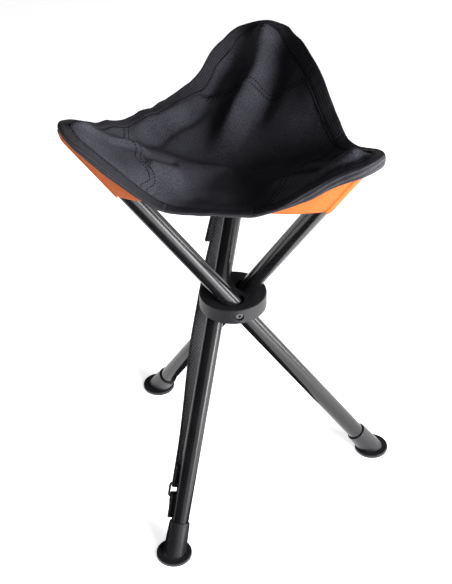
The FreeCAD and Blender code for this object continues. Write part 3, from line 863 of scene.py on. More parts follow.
class Stitching:
    """Rows of thread stitches, laid along lines by a geometry node tree."""

    def __init__(self, thread: Material, radius: float = 0.00055) -> None:
        """Builds the tree.

        Args:
            thread: the stitches' finish.
            radius: half the width of a stitch.
        """
        self.tree = bpy.data.node_groups.new("stitch_row", "GeometryNodeTree")
        face = self.tree.interface
        face.new_socket("Geometry", in_out="INPUT", socket_type="NodeSocketGeometry")
        self.inputs = {}
        for label in ("Spacing", "Stitch Length"):
            socket = face.new_socket(label, in_out="INPUT", socket_type="NodeSocketFloat")
            self.inputs[label] = socket.identifier
        face.new_socket("Geometry", in_out="OUTPUT", socket_type="NodeSocketGeometry")
        add = self.tree.nodes.new
        source = add("NodeGroupInput")
        curve = add("GeometryNodeMeshToCurve")
        points = add("GeometryNodeCurveToPoints")
        points.mode = "LENGTH"
        ball = add("GeometryNodeMeshIcoSphere")
        ball.inputs["Radius"].default_value = 1.0
        ball.inputs["Subdivisions"].default_value = 1
        turn = add("FunctionNodeAlignRotationToVector")
        turn.axis = "X"
        half = add("ShaderNodeMath")
        half.operation = "MULTIPLY"
        half.inputs[1].default_value = 0.5
        size = add("ShaderNodeCombineXYZ")
        size.inputs["Y"].default_value = radius
        size.inputs["Z"].default_value = radius
        place = add("GeometryNodeInstanceOnPoints")
        real = add("GeometryNodeRealizeInstances")
        paint = add("GeometryNodeSetMaterial")
        paint.inputs["Material"].default_value = thread
        out = add("NodeGroupOutput")
        for start, given, end, taken in (
            (source, "Geometry", curve, "Mesh"),
            (curve, "Curve", points, "Curve"),
            (source, "Spacing", points, "Length"),
            (points, "Tangent", turn, "Vector"),
            (source, "Stitch Length", half, 0),
            (half, 0, size, "X"),
            (points, "Points", place, "Points"),
            (ball, "Mesh", place, "Instance"),
            (turn, "Rotation", place, "Rotation"),
            (size, "Vector", place, "Scale"),
            (place, "Instances", real, "Geometry"),
            (real, "Geometry", paint, "Geometry"),
            (paint, "Geometry", out, "Geometry"),
        ):
            self.tree.links.new(start.outputs[given], end.inputs[taken])

    def rows(self, name: str, lines: list, spacing: float = 0.0034, length: float = 0.0026) -> Piece:
        """Lays stitches along lines.

        Args:
            name: the piece's name.
            lines: rows of points in the CAD frame.
            spacing: distance from stitch to stitch.
            length: length of a stitch.

        Returns:
            The stitches as one plain mesh.
        """
        edges = []
        start = 0
        for line in lines:
            edges += [(start + i, start + i + 1) for i in range(len(line) - 1)]
            start += len(line)
        guide_mesh = bpy.data.meshes.new(name + "_guide")
        guide_mesh.from_pydata(np.vstack(lines).tolist(), edges, [])
        guide = place_object(name + "_guide", guide_mesh)
        modifier = guide.modifiers.new("stitches", "NODES")
        modifier.node_group = self.tree
        modifier[self.inputs["Spacing"]] = spacing
        modifier[self.inputs["Stitch Length"]] = length
        graph = bpy.context.evaluated_depsgraph_get()
        mesh = bpy.data.meshes.new_from_object(guide.evaluated_get(graph), depsgraph=graph)
        mesh.name = name
        bpy.data.objects.remove(guide)
        smooth_shaded(mesh)
        return place_object(name, mesh)


# Seat pieces


@dataclass(frozen=True)
class TapeBand:
    """Tape folded over a seat edge: its width on top, and its height above and below the top of the cloth."""

    form: SeatForm
    material: Material
    width: float = 0.0125
    proud: float = 0.0016
    under: float = 0.0024
    groove: tuple[float, ...] = (0.0, 0.0007, 0.0013, 0.0019, 0.0026)
    groove_depth: tuple[float, ...] = (-0.0009, 0.0, -0.0011, -0.0011, 0.0)
    top_points: int = 6
    nose_points: int = 9
    low_points: int = 7
    sway: float = 0.0005
    sway_size: float = 0.017
    sway_fade: float = 0.02
    sway_layer: float = 7.3
    sway_spread: float = 40.0
    ruffle_reach: float = 1.4
    drop_tuck: float = 45.0
    stitch_inset: float = 0.0016
    stitch_sink: float = 0.0008

    def section(self) -> tuple[np.ndarray, np.ndarray, np.ndarray]:
        """Points round the tape.

        Returns:
            Distances in from the edge, heights above the cloth, and shares of a drop.
        """
        nose = np.radians(np.linspace(90, -90, self.nose_points))
        middle = (self.proud - self.under) / 2
        half = (self.proud + self.under) / 2
        groove = np.array(self.groove)
        flat = np.linspace(self.width - groove[-1], half, self.top_points)[1:-1]
        low = np.linspace(half, self.width, self.low_points)[1:]
        insets = np.concatenate([self.width - groove, flat, half - half * np.cos(nose), low])
        top = self.proud + np.concatenate([self.groove_depth, np.zeros(len(flat))])
        raised = np.concatenate([top, middle + half * np.sin(nose), np.full(len(low), -self.under)])
        below = np.concatenate([np.zeros(len(top)), (1 - np.sin(nose)) / 2, np.ones(len(low))])
        return insets, raised, below

    def lay(
        self, name: str, plan: np.ndarray, inward: np.ndarray, ruffle: float, drops: np.ndarray
    ) -> tuple[Piece, np.ndarray]:
        """Makes the tape along an edge.

        Args:
            name: the piece's name.
            plan: plan positions along the outer edge.
            inward: the way in from each.
            ruffle: height of the waves in the tape.
            drops: how much lower the tape hangs outside, at each position.

        Returns:
            The tape, and a line for its stitches.
        """
        insets, raised, below = self.section()
        run = lengths(plan)
        layer = (self.sway_layer, plan[0, 0] * self.sway_spread)
        sway = np.array([noise.noise(Vector((place / self.sway_size, *layer))) for place in run])
        sway *= np.clip(np.minimum(run, run[-1] - run) / self.sway_fade, 0.0, 1.0)
        rings = []
        for place, way, shift, drop in zip(plan, inward, sway, drops):
            reach = insets * (1 - self.drop_tuck * drop * below)
            spots = place[None, :] + way[None, :] * (reach[:, None] + self.sway * shift)
            waves = ruffle * shift * np.clip(self.ruffle_reach - insets / self.width, 0.0, 1.0)
            rings.append(self.form.points(spots, raised + waves - drop * below))
        uv = along_and_around(run, lengths(np.stack([insets, raised], -1)))
        made = sweep(name, np.array(rings), uv, self.material)
        seam = plan + inward * (self.width - self.stitch_inset)
        return made, self.form.points(seam, self.proud - self.stitch_sink)


@dataclass(frozen=True)
class Workroom:
    """What the pieces of the seat share."""

    form: SeatForm
    finishes: Finishes
    stitching: Stitching
    tape: TapeBand


@dataclass
class SeatPanel:
    """Middle of the seat, between the corner seams and the edge tapes."""

    room: Workroom
    under_lap: float = 0.019
    columns: int = 171
    front_rows: int = 66
    back_rows: int = 75

    def build(self, sewn: list) -> None:
        """Args:
            sewn: the pieces that are sewn to it; not used.
        """
        form = self.room.form
        seam = form.seam + self.under_lap
        end = float(form.half_width(np.array(seam), form.cloth_inset))
        wide, narrow = form.from_corner(Corner.RIGHT, np.array([seam, seam]), np.array([end, -end]))
        front = np.linspace(narrow[1], wide[1], self.front_rows)
        back = np.linspace(wide[1], seam, self.back_rows)[1:]
        reach_front = np.interp(front, (narrow[1], wide[1]), (narrow[0], wide[0]))
        reach_back = np.interp(back, (wide[1], seam), (wide[0], end))
        y = np.concatenate([front, back])
        reach = np.concatenate([reach_front, reach_back])
        x = reach[:, None] * np.linspace(-1, 1, self.columns)[None, :]
        plan = np.stack([x, np.broadcast_to(y[:, None], x.shape)], axis=-1)
        top = form.points(plan)
        below = top - np.array([0, 0, CLOTH_THICKNESS])
        made = shell("seat_middle", top, below, plan, self.room.finishes.cloth)
        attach(made, "seat")
        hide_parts("seat_panel")
        declare_sheet(made, top)


@dataclass
class SeatCorner:
    """One corner of the seat: its panel, tape, pocket and stitches."""

    corner: Corner
    room: Workroom
    seam_line: tuple[tuple[float, float], ...] = ((-1.0, 0.087), (0.0, 0.083), (1.0, 0.087))
    seam_steps: int = 201
    seam_blur: int = 21
    seam_rows: tuple[float, float] = (0.0016, 0.0066)
    seam_points: int = 90
    stitch_lift: float = 0.0002
    lap: float = 0.0006
    bend: tuple[float, float] = (0.104, 0.164)
    rows: int = 72
    columns: int = 81
    panel_clearance: float = 0.0006
    tip_shift: float = 0.0
    tip_range: tuple[float, float] = (0.148, 0.028)
    spread: tuple[float, float] = (0.0, 0.0)
    spread_range: tuple[float, float] = (0.100, 0.045)
    straight_points: int = 46
    arc_points: int = 57
    tape_ruffle: float = 0.0004
    tape_drop: float = 0.0040
    drop_range: tuple[float, float] = (0.104, 0.034)
    pocket_hems: tuple[float, float] = (0.10599, 0.10599)
    pocket_leg_hem: float = 0.12099
    pocket_rows: int = 38
    pocket_end: tuple[float, ...] = (1.015, 1.03, 1.04, 1.045)
    pocket_clearance: float = 0.001
    pocket_room: float = 0.0020
    pocket_wall: float = 0.0012
    pocket_hang: float = 0.0012
    pocket_least: float = 0.004
    pocket_lip: float = 0.004
    pocket_slack: float = 0.0022
    pocket_bottom: float = 0.55
    bottom_points: int = 15
    side_points: int = 14

    def blend(self, made: Piece) -> None:
        """Bakes a piece's placement into its mesh.

        Args:
            made: the piece.
        """
        form = self.room.form
        ends = form.from_corner(self.corner, np.array(self.bend), np.zeros(2)) + HUB_AXIS
        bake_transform(made)

    def seam_start(self, side: np.ndarray) -> np.ndarray:
        """Where the corner's panel starts.

        Args:
            side: places across the corner, from -1 to 1.

        Returns:
            Distances along the corner.
        """
        places, starts = np.array(self.seam_line).T
        fine = np.linspace(-1, 1, self.seam_steps)
        rough = np.pad(np.interp(fine, places, starts), self.seam_blur // 2, mode="edge")
        smooth = np.convolve(rough, np.ones(self.seam_blur) / self.seam_blur, mode="valid")
        return np.interp(side, fine, smooth)

    def shaped(self, along: np.ndarray, across: np.ndarray) -> np.ndarray:
        """Plan positions of the corner as it hangs: pulled in or out at its tip, and spread sideways.

        Args:
            along: distances along the corner's direction as cut.
            across: distances across it as cut.

        Returns:
            Plan positions.
        """
        tip_start, tip_run = self.tip_range
        spread_start, spread_run = self.spread_range
        spread = np.where(across < 0, *self.spread) * ease((along - spread_start) / spread_run)
        along = along + self.tip_shift * ease((along - tip_start) / tip_run)
        return self.room.form.from_corner(self.corner, along, across * (1 + spread))

    def panel(self) -> tuple[Piece, np.ndarray]:
        """Makes the corner's panel, whose inner end laps over the middle of the seat.

        Returns:
            The panel, and the points of its top.
        """
        form = self.room.form
        share = np.linspace(0, 1, self.rows)
        side = np.linspace(-1, 1, self.columns)
        start = self.seam_start(side)
        last = form.tip_end(self.panel_clearance)
        along = start[None, :] + (last - start)[None, :] * share[:, None]
        across = form.half_width(along, form.cloth_inset) * side[None, :]
        raised = np.full(along.shape, self.lap)
        raised[0] = -self.lap
        top = form.points(self.shaped(along, across), raised)
        below = top - np.array([0, 0, CLOTH_THICKNESS])
        uv = np.stack([across, along], axis=-1)
        made = shell(f"seat_corner_{self.corner.label}", top, below, uv, self.room.finishes.cloth)
        self.blend(made)
        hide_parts(f"corner_panel_{self.corner.label}")
        return made, top

    def seam_lines(self) -> list:
        """Draws the seam's stitch lines, on top of the lap.

        Returns:
            Two rows of points.
        """
        side = np.linspace(-1, 1, self.seam_points)
        lines = []
        for step in self.seam_rows:
            along = self.seam_start(side) + step
            across = self.room.form.half_width(along, self.room.tape.width) * side
            lines.append(self.room.form.points(self.shaped(along, across), self.lap + self.stitch_lift))
        return lines

    def outline(self) -> tuple[np.ndarray, np.ndarray]:
        """Draws the corner's outer edge, from seam to seam.

        Returns:
            Places along and across the corner, and the way inward from each.
        """
        form = self.room.form
        radius = form.corner_radius
        centre = 2 * (form.edge_distance - radius)
        straight = np.linspace(form.seam, centre + radius / 2, self.straight_points)[:-1]
        width = form.half_width(straight, 0.0)
        arc = np.linspace(-HALF_CORNER, HALF_CORNER, self.arc_points)
        round_end = np.stack([np.cos(arc), np.sin(arc)], -1)
        places = np.vstack([
            np.stack([straight, -width], -1),
            np.array([centre, 0.0]) + radius * round_end,
            np.stack([straight, width], -1)[::-1],
        ])
        sides = [np.tile(-way, (len(straight), 1)) for way in (round_end[0], round_end[-1])]
        return places, np.vstack([sides[0], -round_end, sides[1]])

    def tape(self) -> tuple[Piece, np.ndarray]:
        """Makes the tape round the corner.

        Returns:
            The tape, and the line of its stitches.
        """
        places, inward = self.outline()
        plan = self.shaped(places[:, 0], places[:, 1])
        ways = self.room.form.from_corner(self.corner, inward[:, 0], inward[:, 1])
        drop_start, drop_run = self.drop_range
        drops = self.tape_drop * ease((places[:, 0] - drop_start) / drop_run)
        name = f"corner_tape_{self.corner.label}"
        made, stitches = self.room.tape.lay(name, plan, ways, self.tape_ruffle, drops)
        self.blend(made)
        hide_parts(f"corner_binding_{self.corner.label}")
        return made, stitches

    def pocket_row(self, share: float) -> tuple[np.ndarray, np.ndarray, np.ndarray]:
        """Section of the pocket across the corner.

        Args:
            share: place from the hem at 0 to the corner's tip at 1, and past it where the pocket closes.

        Returns:
            Points on the outer face, points on the inner face, and surface coordinates.
        """
        form = self.room.form
        last = form.tip_end(self.pocket_clearance)
        slant = math.radians(90.0 - PIVOT_TURN)
        hems = np.array(self.pocket_hems)
        ends = hems + (last - hems) * share
        low_along = self.pocket_leg_hem + (last - self.pocket_leg_hem) * share
        halves = np.maximum(form.half_width(ends, form.cloth_inset), self.pocket_least)
        sides = halves * np.array([-1, 1])
        rims = form.height(self.shaped(ends, sides)) - self.pocket_hang
        behind = form.top_radius - low_along
        axis = form.top_height - behind / math.cos(slant) / math.tan(LEG_TILT)
        floor = axis - TUBE_RADIUS / math.sin(LEG_TILT) - self.pocket_room
        heel = min(TUBE_RADIUS - self.pocket_room, halves.min() / 2)
        closing = max(share - 1.0, 0.0) / (self.pocket_end[-1] - 1.0)
        floor += (float(rims.min()) - self.pocket_lip - floor) * closing ** 2
        faces = []
        for gap in (0.0, CLOTH_THICKNESS):
            wall = self.pocket_wall - gap
            depth, across, height = self.trough(
                halves - gap, rims, behind * math.tan(slant), heel + wall, floor - wall
            )
            along = np.interp(across, sides, ends)
            high = self.shaped(along, across)
            low = form.from_corner(self.corner, np.full(len(across), low_along), across)
            plan = high + (low - high) * depth[:, None]
            faces.append(np.column_stack([plan + HUB_AXIS, height]))
        return faces[0], faces[1], np.column_stack([lengths(faces[0]), along])

    def trough(self, halves: np.ndarray, rims: np.ndarray, middle: float, heel: float, floor: float) -> tuple:
        """Outline of a section of the pocket: two hanging sides and a round bottom.

        Args:
            halves: widths of the two sides at the top.
            rims: heights of the two upper ends.
            middle: where the leg passes.
            heel: half the width of the bottom.
            floor: height of the bottom.

        Returns:
            Shares of the depth, places across, and heights.
        """
        angle = np.linspace(-math.pi / 2, math.pi / 2, self.bottom_points)
        bottom_across = middle + heel * np.sin(angle)
        bottom_height = floor + heel * self.pocket_bottom * (1 - np.cos(angle))
        share = np.linspace(0, 1, self.side_points)[:-1]
        slack = self.pocket_slack * np.sin(np.pi * share)
        left_across = -halves[0] + (bottom_across[0] + halves[0]) * share - slack
        left_height = rims[0] + (bottom_height[0] - rims[0]) * share
        right_across = halves[1] + (bottom_across[-1] - halves[1]) * share + slack
        right_height = rims[1] + (bottom_height[-1] - rims[1]) * share
        across = np.concatenate([left_across, bottom_across, right_across[::-1]])
        height = np.concatenate([left_height, bottom_height, right_height[::-1]])
        depth = np.concatenate([share, np.ones(len(angle)), share[::-1]])
        return depth, across, height

    def pocket(self) -> None:
        shares = np.concatenate([np.linspace(0, 1, self.pocket_rows), self.pocket_end])
        outer, inner, uv = (np.array(part) for part in zip(*[self.pocket_row(share) for share in shares]))
        name = f"leg_top_pocket_{self.corner.label}"
        made = outward(shell(name, inner, outer, uv, self.room.finishes.pocket))
        self.blend(made)
        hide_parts(f"leg_pocket_{self.corner.label}")
        declare_sheet(made, outer)

    def build(self) -> None:
        """Makes all pieces of the corner."""
        panel, top = self.panel()
        tape, tape_line = self.tape()
        lines = self.seam_lines() + [tape_line]
        stitches = self.room.stitching.rows(f"corner_stitches_{self.corner.label}", lines)
        self.blend(stitches)
        self.pocket()
        declare_sheet(panel, top)


@dataclass
class EdgeTape:
    """Tape on the middle of one seat edge."""

    edge: Edge
    room: Workroom
    ruffle: float = 0.0006
    stations: int = 70

    def build(self) -> list:
        """Makes the tape and its stitches.

        Returns:
            The two pieces.
        """
        form = self.room.form
        angle = math.radians(self.edge.value)
        out = np.array([math.cos(angle), math.sin(angle)])
        side = np.array([-math.sin(angle), math.cos(angle)])
        end = float(form.half_width(np.array(form.seam), 0.0))
        half = math.sqrt(form.seam ** 2 + end ** 2 - form.edge_distance ** 2)
        places = np.linspace(-half, half, self.stations)
        plan = out[None, :] * form.edge_distance + side[None, :] * places[:, None]
        inward = np.tile(-out, (len(plan), 1))
        name = f"edge_tape_{self.edge.label}"
        made, line = self.room.tape.lay(name, plan, inward, self.ruffle, np.zeros(len(plan)))
        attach(made, "seat")
        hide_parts(f"edge_binding_{self.edge.label}")
        stitches = self.room.stitching.rows(f"edge_stitches_{self.edge.label}", [line])
        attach(stitches, "seat")
        return [made, stitches]


# Carry strap


@dataclass
class CarryStrap:
    """Webbing strap on the back leg, its loose tail and its tab. Offsets point away from the leg's axis."""

    finishes: Finishes
    stitching: Stitching
    pivot_radius: float = 0.016
    pivot_height: float = 0.238
    side: float = math.radians(45.0)
    width: float = 0.020
    thickness: float = 0.0016
    wire_radius: float = 0.00125
    hub_offset: float = 0.0262
    tab_from_floor: float = 0.036
    tab_gap: float = 0.0015
    tab_length: float = 0.024
    ring_opening: float = 0.014
    loop_height: float = 0.0040
    loop_share: float = 0.9
    stitch_inset: float = 0.002
    stitch_spacing: float = 0.0040
    stitch_length: float = 0.0030
    curve_order: int = 3
    curve_steps: int = 24
    edge_points: int = 5
    flat_points: int = 11

    def leg(self) -> np.ndarray:
        """Places a shape drawn along Z, with the pivot at its origin, on the leg.

        Returns:
            The shape's matrix.
        """
        turn = Matrix.Rotation(math.radians(Corner.BACK.value + PIVOT_TURN), 4, "Z")
        lean = Matrix.Rotation(LEG_TILT, 4, "X")
        hub = Matrix.Translation((HUB_AXIS[0], HUB_AXIS[1], 0.0))
        return np.array(hub @ turn @ Matrix.Translation((self.pivot_radius, 0.0, self.pivot_height)) @ lean)

    def line(self, run: list, count: int) -> np.ndarray:
        """Smooth line of heights along the leg and offsets from it.

        Args:
            run: (height, offset) control points of a NURBS spline.
            count: points on the line.

        Returns:
            Heights and offsets, one row each.
        """
        data = bpy.data.curves.new("strap_route", "CURVE")
        data.dimensions = "3D"
        spline = data.splines.new("NURBS")
        spline.points.add(len(run) - 1)
        for point, (height, offset) in zip(spline.points, run):
            point.co = (height, offset, 0.0, 1.0)
        spline.order_u = self.curve_order
        spline.use_endpoint_u = True
        spline.resolution_u = self.curve_steps
        route = place_object("strap_route", data)
        graph = bpy.context.evaluated_depsgraph_get()
        mesh = bpy.data.meshes.new_from_object(route.evaluated_get(graph), depsgraph=graph)
        points = np.array([vertex.co[:2] for vertex in mesh.vertices])
        bpy.data.objects.remove(route)
        bpy.data.meshes.remove(mesh)
        place = lengths(points)
        even = np.linspace(0, place[-1], count)
        return np.stack([np.interp(even, place, points[:, 0]), np.interp(even, place, points[:, 1])], -1)

    def section(self) -> np.ndarray:
        """Points round the webbing.

        Returns:
            Places across it and heights above its middle, one row each.
        """
        half = self.thickness / 2
        flat_end = self.width / 2 - half
        angles = np.radians(np.linspace(-90, 90, self.edge_points))
        rounded = np.stack([flat_end + half * np.cos(angles), half * np.sin(angles)], -1)
        flat = np.linspace(flat_end, -flat_end, self.flat_points)[1:-1]
        top = np.stack([flat, np.full(len(flat), half)], -1)
        return np.vstack([rounded, top, -rounded, -top])

    def band(self, name: str, line: np.ndarray, node: str) -> list:
        """Makes flat webbing along a line.

        Args:
            name: the piece's name.
            line: heights and offsets of its middle.
            node: the CAD node that it stands for.

        Returns:
            Lines for stitches near its two edges.
        """
        out = np.array([math.cos(self.side), -math.sin(self.side), 0.0])
        across = np.array([math.sin(self.side), math.cos(self.side), 0.0])
        up = np.array([0.0, 0.0, 1.0])
        step = np.gradient(line, axis=0)
        step /= np.linalg.norm(step, axis=1)[:, None]
        section = self.section()
        place = self.leg()
        sewn = across * (self.width / 2 - self.stitch_inset)
        rings = []
        edges = []
        for (height, offset), (rise, spread) in zip(line, step):
            middle = up * height + out * offset
            normal = out * rise - up * spread
            top = middle + normal * (self.thickness / 2)
            ring = middle + across * section[:, :1] + normal * section[:, 1:]
            rings.append(ring @ place[:3, :3].T + place[:3, 3])
            edges.append(np.stack([top - sewn, top + sewn]) @ place[:3, :3].T + place[:3, 3])
        run = lengths(line)
        uv = along_and_around(run, lengths(section))
        made = sweep(name, np.array(rings), uv, self.finishes.webbing)
        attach(made, "leg_back")
        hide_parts(node)
        log.info("%s: %.3f m of webbing %.3f m wide", name, run[-1], self.width)
        return list(np.array(edges).swapaxes(0, 1))

    def build(self) -> None:
        """Makes the strap, its tail and its tab."""
        half = self.thickness / 2
        tab_end = self.tab_gap - (self.pivot_height / math.cos(LEG_TILT) - self.tab_from_floor)
        low = tab_end + self.tab_length
        high = low + self.ring_opening
        wire = TUBE_RADIUS + self.thickness + self.wire_radius
        loop = self.wire_radius + half
        bulge = loop * self.loop_share
        over = wire + loop
        under = wire - loop
        hub = self.hub_offset + half
        loop_low = low + self.loop_height
        loop_high = high - self.loop_height
        strap = [
            (0.180, 0.0183), (0.120, 0.0183), (0.080, 0.0190), (0.027, hub), (-0.027, hub + 0.0012),
            (-0.062, hub + 0.0015), (-0.112, 0.0215), (-0.160, over + 0.0010), (high + 0.010, over),
            (high, over), (loop_high, wire + bulge), (loop_high, wire - bulge), (high, under),
            (high + 0.022, under),
        ]
        tail = [(0.180, 0.0199), (0.150, 0.0205), (0.120, 0.0255), (0.090, 0.0300), (0.054, 0.0345)]
        tab = [
            (tab_end, under), (low - 0.004, under), (low, under), (loop_low, wire - bulge),
            (loop_low, wire + bulge), (low, over), (low - 0.004, over),
            (tab_end + 0.012, under + self.thickness), (tab_end, under + self.thickness),
        ]
        for name, run, count, node in (
            ("carry_webbing", strap, 220, "carry_strap"),
            ("webbing_tail", tail, 60, "strap_tail"),
            ("webbing_tab", tab, 90, "strap_tab"),
        ):
            edges = self.band(name, self.line(run, count), node)
            stitches = self.stitching.rows(f"{name}_stitches", edges, self.stitch_spacing, self.stitch_length)
            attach(stitches, "leg_back")


# Hard parts


@dataclass
class HardParts:
    """The CAD nodes that show as they are: legs, hub, feet and fasteners."""

    finishes: Finishes

    def dress(self) -> int:
        """Puts a finish on each node.

        Returns:
            Number of nodes dressed.
        """
        looks = {
            "leg_tube": self.finishes.tube,
            "hub_body": self.finishes.hub,
            "foot_cap": self.finishes.foot,
            "top_plug": self.finishes.foot,
            "pivot_bush": self.finishes.bush,
            "pivot_screw": self.finishes.steel,
            "screw_insert": self.finishes.brass,
            "strap_ring": self.finishes.wire,
            "tab_washer": self.finishes.steel,
            "tab_screw": self.finishes.steel,
        }
        count = 0
        for name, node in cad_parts.items():
            for start, look in looks.items():
                if name.startswith(start):
                    node.data.materials.clear()
                    node.data.materials.append(look)
                    count += 1
        return count


# Studio


@dataclass(frozen=True)
class Softbox:
    """A soft rectangular lamp: its place, aim, size and watts, and whether glossy surfaces show it."""

    name: str
    place: Point
    aim: Point
    size: tuple[float, float]
    power: float
    mirrored: bool = True

    def build(self) -> None:
        """Adds the lamp."""
        data = bpy.data.lights.new(self.name, "AREA")
        data.shape = "RECTANGLE"
        data.size, data.size_y = self.size
        data.energy = self.power
        made = place_object(self.name, data)
        made.location = self.place
        made.rotation_euler = (Vector(self.aim) - Vector(self.place)).to_track_quat("-Z", "Y").to_euler()
        made.visible_glossy = self.mirrored


@dataclass(frozen=True)
class Card:
    """A flat dark card, which shows only in reflections. Its corners go round."""

    name: str
    corners: tuple[Point, Point, Point, Point]
    tone: float = 0.004

    def build(self) -> None:
        """Adds the card."""
        verts = np.array(self.corners)
        nodes = Nodes(bpy.data.materials.new(self.name))
        nodes.set(Base_Color=(self.tone, self.tone, self.tone, 1.0), Roughness=1.0, Specular_IOR_Level=0.0)
        made = piece(self.name, verts, [(0, 1, 2, 3)], verts[:, :2], nodes.owner)
        made.visible_camera = False
        made.visible_diffuse = False
        made.visible_shadow = False
        made.visible_transmission = False


SOFTBOXES = (
    Softbox("key_softbox", (1.12, -0.77, 0.73), (0.0, 0.0, 0.43), (0.7, 0.7), 60.0, False),
    Softbox("top_softbox", (-0.3, 0.5, 1.7), (0.0, 0.0, 0.4), (0.9, 0.7), 0.8),
    Softbox("low_softbox", (1.30, -0.42, 0.17), (0.0, -0.10, 0.14), (0.5, 0.26), 6.5),
    Softbox("rear_softbox", (1.25, 0.45, 0.26), (0.0, 0.0, 0.25), (0.35, 0.40), 4.5),
    Softbox("left_softbox", (-1.10, -0.75, 0.20), (0.0, 0.0, 0.20), (0.5, 0.30), 5.0, False),
)
CARD_LOW = 0.006
CARDS = (
    # Dark card under the stool, seen only in reflections: painted shadow of the seat in the tubes' reflection
    # of the floor
    Card(
        "card_floor",
        ((-0.11, -0.30, CARD_LOW), (0.06, -0.30, CARD_LOW), (0.06, 0.16, CARD_LOW), (-0.11, 0.16, CARD_LOW)),
    ),
    # Dark card at the front left, seen only in reflections: painted dark reflection of the floor in the tubes
    Card(
        "card_floor_left",
        (
            (-0.08, -0.60, CARD_LOW), (0.42, -0.54, CARD_LOW), (-0.13, 0.00, CARD_LOW),
            (-0.34, -0.08, CARD_LOW),
        ),
    ),
    Card("card_front", ((-2.4, -1.7, 0.0), (0.6, -1.9, 0.0), (0.6, -1.9, 2.6), (-2.4, -1.7, 2.6))),
    Card("card_left", ((-2.0, -1.8, 0.0), (-2.0, 1.8, 0.0), (-2.0, 1.8, 2.6), (-2.0, -1.8, 2.6))),
    Card("card_back", ((-2.0, 1.8, 0.6), (1.1, 1.8, 0.6), (1.1, 1.8, 2.6), (-2.0, 1.8, 2.6))),
    Card("card_top", ((-2.0, -1.8, 2.5), (1.6, -1.8, 2.5), (1.6, 1.8, 2.5), (-2.0, 1.8, 2.5))),
)


@dataclass
class Studio:
    """Camera, lamps, cards, floor and surroundings."""

    camera: Point = (0.24827, -1.08486, 1.0715)
    ahead: Point = (-0.19124265, 0.7784833, -0.59782104)
    right: Point = (0.97392537, 0.2262341, -0.01695592)
    lens: float = 79.5
    sensor: float = 36.0
    shift: tuple[float, float] = (0.01625, 0.0050)
    clip: tuple[float, float] = (0.05, 50.0)
    ambient: float = 0.055
    floor_glow: float = 0.72
    floor_tone: float = 0.90
    floor_reach: float = 6.0

    def place_camera(self) -> None:
        """Puts the camera at the photograph's viewing angle."""
        data = bpy.data.cameras.new("camera")
        data.lens = self.lens
        data.sensor_width = self.sensor
        data.shift_x, data.shift_y = self.shift
        data.clip_start, data.clip_end = self.clip
        made = place_object("camera", data)
        right = Vector(self.right)
        back = -Vector(self.ahead)
        up = back.cross(right)
        place = Vector(self.camera) + Vector((*HUB_AXIS, 0.0))
        turned = Matrix((right, up, back)).transposed()
        made.matrix_world = Matrix.Translation(place) @ turned.to_4x4()
        bpy.context.scene.camera = made

    def surroundings(self) -> None:
        """White surroundings that light the stool less than they show."""
        world = bpy.data.worlds.new("surroundings")
        bpy.context.scene.world = world
        nodes = Nodes(world, "Background")
        nodes.set(Color=(1.0, 1.0, 1.0, 1.0))
        level = nodes.add("MapRange")
        level.inputs["To Min"].default_value = self.ambient
        level.inputs["To Max"].default_value = 1.0
        nodes.link(nodes.seen(), level.inputs["Value"])
        nodes.link(level.outputs["Result"], nodes.shader.inputs["Strength"])

    def floor(self) -> None:
        """A plain pale floor, which shows as bright as the surroundings."""
        signs = ((-1, -1), (1, -1), (1, 1), (-1, 1))
        verts = np.array([(x * self.floor_reach, y * self.floor_reach, 0.0) for x, y in signs])
        tone = self.floor_tone
        nodes = Nodes(bpy.data.materials.new("pale_floor"))
        nodes.set(Base_Color=(tone, tone, tone, 1.0), Roughness=0.9, Specular_IOR_Level=0.1)
        nodes.set(Emission_Color=(1.0, 1.0, 1.0, 1.0))
        glow = nodes.combine("MULTIPLY", nodes.seen(), self.floor_glow)
        nodes.link(glow, nodes.shader.inputs["Emission Strength"])
        made = piece("floor", verts, [(0, 1, 2, 3)], verts[:, :2], nodes.owner)

    def build(self) -> None:
        """Sets up the whole studio."""
        self.place_camera()
        self.surroundings()
        self.floor()
        for thing in CARDS + SOFTBOXES:
            thing.build()
        bpy.context.scene.view_settings.view_transform = "Standard"


# The stool


def tip_crease(corner: Corner) -> Fold:
    """Crease inside the tape round a corner's tip.

    Args:
        corner: the corner.

    Returns:
        The crease.
    """
    turns = np.radians((-95, -60, -30, 0, 30, 60, 95))
    places = SeatForm.from_corner(corner, 0.146 + 0.0155 * np.cos(turns), 0.0165 * np.sin(turns))
    return Fold(tuple((float(x), float(y)) for x, y in places), -0.0018, 0.0042)


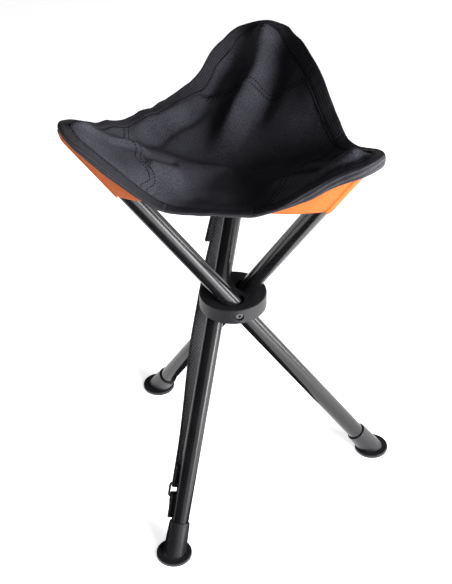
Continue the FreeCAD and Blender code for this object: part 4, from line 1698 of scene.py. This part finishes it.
FOLDS = (
    Fold(((-0.102, -0.013), (-0.090, 0.023), (-0.071, 0.050), (-0.044, 0.082)), 0.0058, 0.0085),
    Fold(((-0.084, -0.014), (-0.074, 0.029), (-0.054, 0.057), (-0.036, 0.087)), -0.0065, 0.0085),
    Fold(((-0.140, -0.083), (-0.116, -0.060), (-0.093, -0.040), (-0.070, -0.030)), 0.0070, 0.0055),
    Fold(((-0.128, -0.040), (-0.106, -0.024), (-0.088, -0.012)), -0.0035, 0.007),
    Fold(((-0.072, -0.062), (-0.054, -0.051), (-0.036, -0.045)), 0.0060, 0.010),
    Fold(((-0.078, -0.046), (-0.062, -0.036), (-0.044, -0.030)), -0.0045, 0.007),
    Fold(
        ((0.004, 0.172), (0.004, 0.140), (0.002, 0.110), (-0.006, 0.078), (-0.014, 0.038), (-0.014, 0.002)),
        0.0185, 0.0135,
    ),
    Fold(((-0.022, 0.152), (-0.032, 0.125), (-0.042, 0.100), (-0.050, 0.078)), -0.0100, 0.012),
    Fold(((0.027, 0.146), (0.029, 0.115), (0.024, 0.085), (0.012, 0.040)), -0.0065, 0.011),
    Fold(((0.060, -0.022), (0.100, -0.052), (0.121, -0.073), (0.145, -0.080)), 0.0052, 0.008),
    Fold(((0.055, -0.043), (0.085, -0.055), (0.108, -0.069)), -0.0040, 0.007),
    Fold(((0.096, -0.078), (0.122, -0.085), (0.138, -0.080)), 0.0035, 0.0070),
    Fold(((0.042, -0.061), (0.076, -0.063), (0.131, -0.097)), 0.0046, 0.008),
    Fold(((-0.040, -0.070), (0.000, -0.064), (0.045, -0.072)), -0.0030, 0.012),
    Fold(((-0.092, 0.046), (-0.114, 0.008), (-0.134, -0.026)), 0.0075, 0.022),
    Fold(((-0.090, 0.050), (-0.074, 0.077), (-0.058, 0.105)), -0.0035, 0.016),
    Fold(((0.118, 0.002), (0.094, 0.043), (0.064, 0.095), (0.034, 0.147)), 0.0060, 0.020),
    tip_crease(Corner.LEFT),
    tip_crease(Corner.BACK),
    tip_crease(Corner.RIGHT),
)
LEFT_SEAM = (
    (-1.0, 0.090), (-0.38, 0.098), (-0.18, 0.087), (0.25, 0.094), (0.45, 0.084), (0.65, 0.085), (0.88, 0.096),
    (1.0, 0.098),
)
BACK_SEAM = (
    (-1.0, 0.074), (-0.57, 0.080), (-0.2, 0.088), (0.1, 0.087), (0.35, 0.085), (0.6, 0.086), (1.0, 0.083),
)
FRONT_RUFFLE = 0.0022


def main() -> None:
    """Builds the stool's looks around the CAD frame."""
    logging.basicConfig(level=logging.INFO)
    finishes = Finishes()
    stitching = Stitching(finishes.thread)
    form = SeatForm(FOLDS)
    room = Workroom(form, finishes, stitching, TapeBand(form, finishes.tape))
    Studio().build()
    log.info("hard parts dressed: %d", HardParts(finishes).dress())
    SeatCorner(Corner.LEFT, room, LEFT_SEAM, tip_shift=-0.006, pocket_hems=(0.106, 0.097)).build()
    SeatCorner(Corner.BACK, room, BACK_SEAM, spread=(0.08, 0.22)).build()
    SeatCorner(
        Corner.RIGHT, room, tip_shift=0.004, pocket_hems=(0.090, 0.106), pocket_leg_hem=0.125,
        tape_drop=0.0080,
    ).build()
    tapes = EdgeTape(Edge.FRONT, room, FRONT_RUFFLE).build()
    for edge in (Edge.LEFT, Edge.RIGHT):
        tapes += EdgeTape(edge, room).build()
    SeatPanel(room).build(tapes)
    CarryStrap(finishes, stitching).build()


if __name__ == "__main__":
    main()
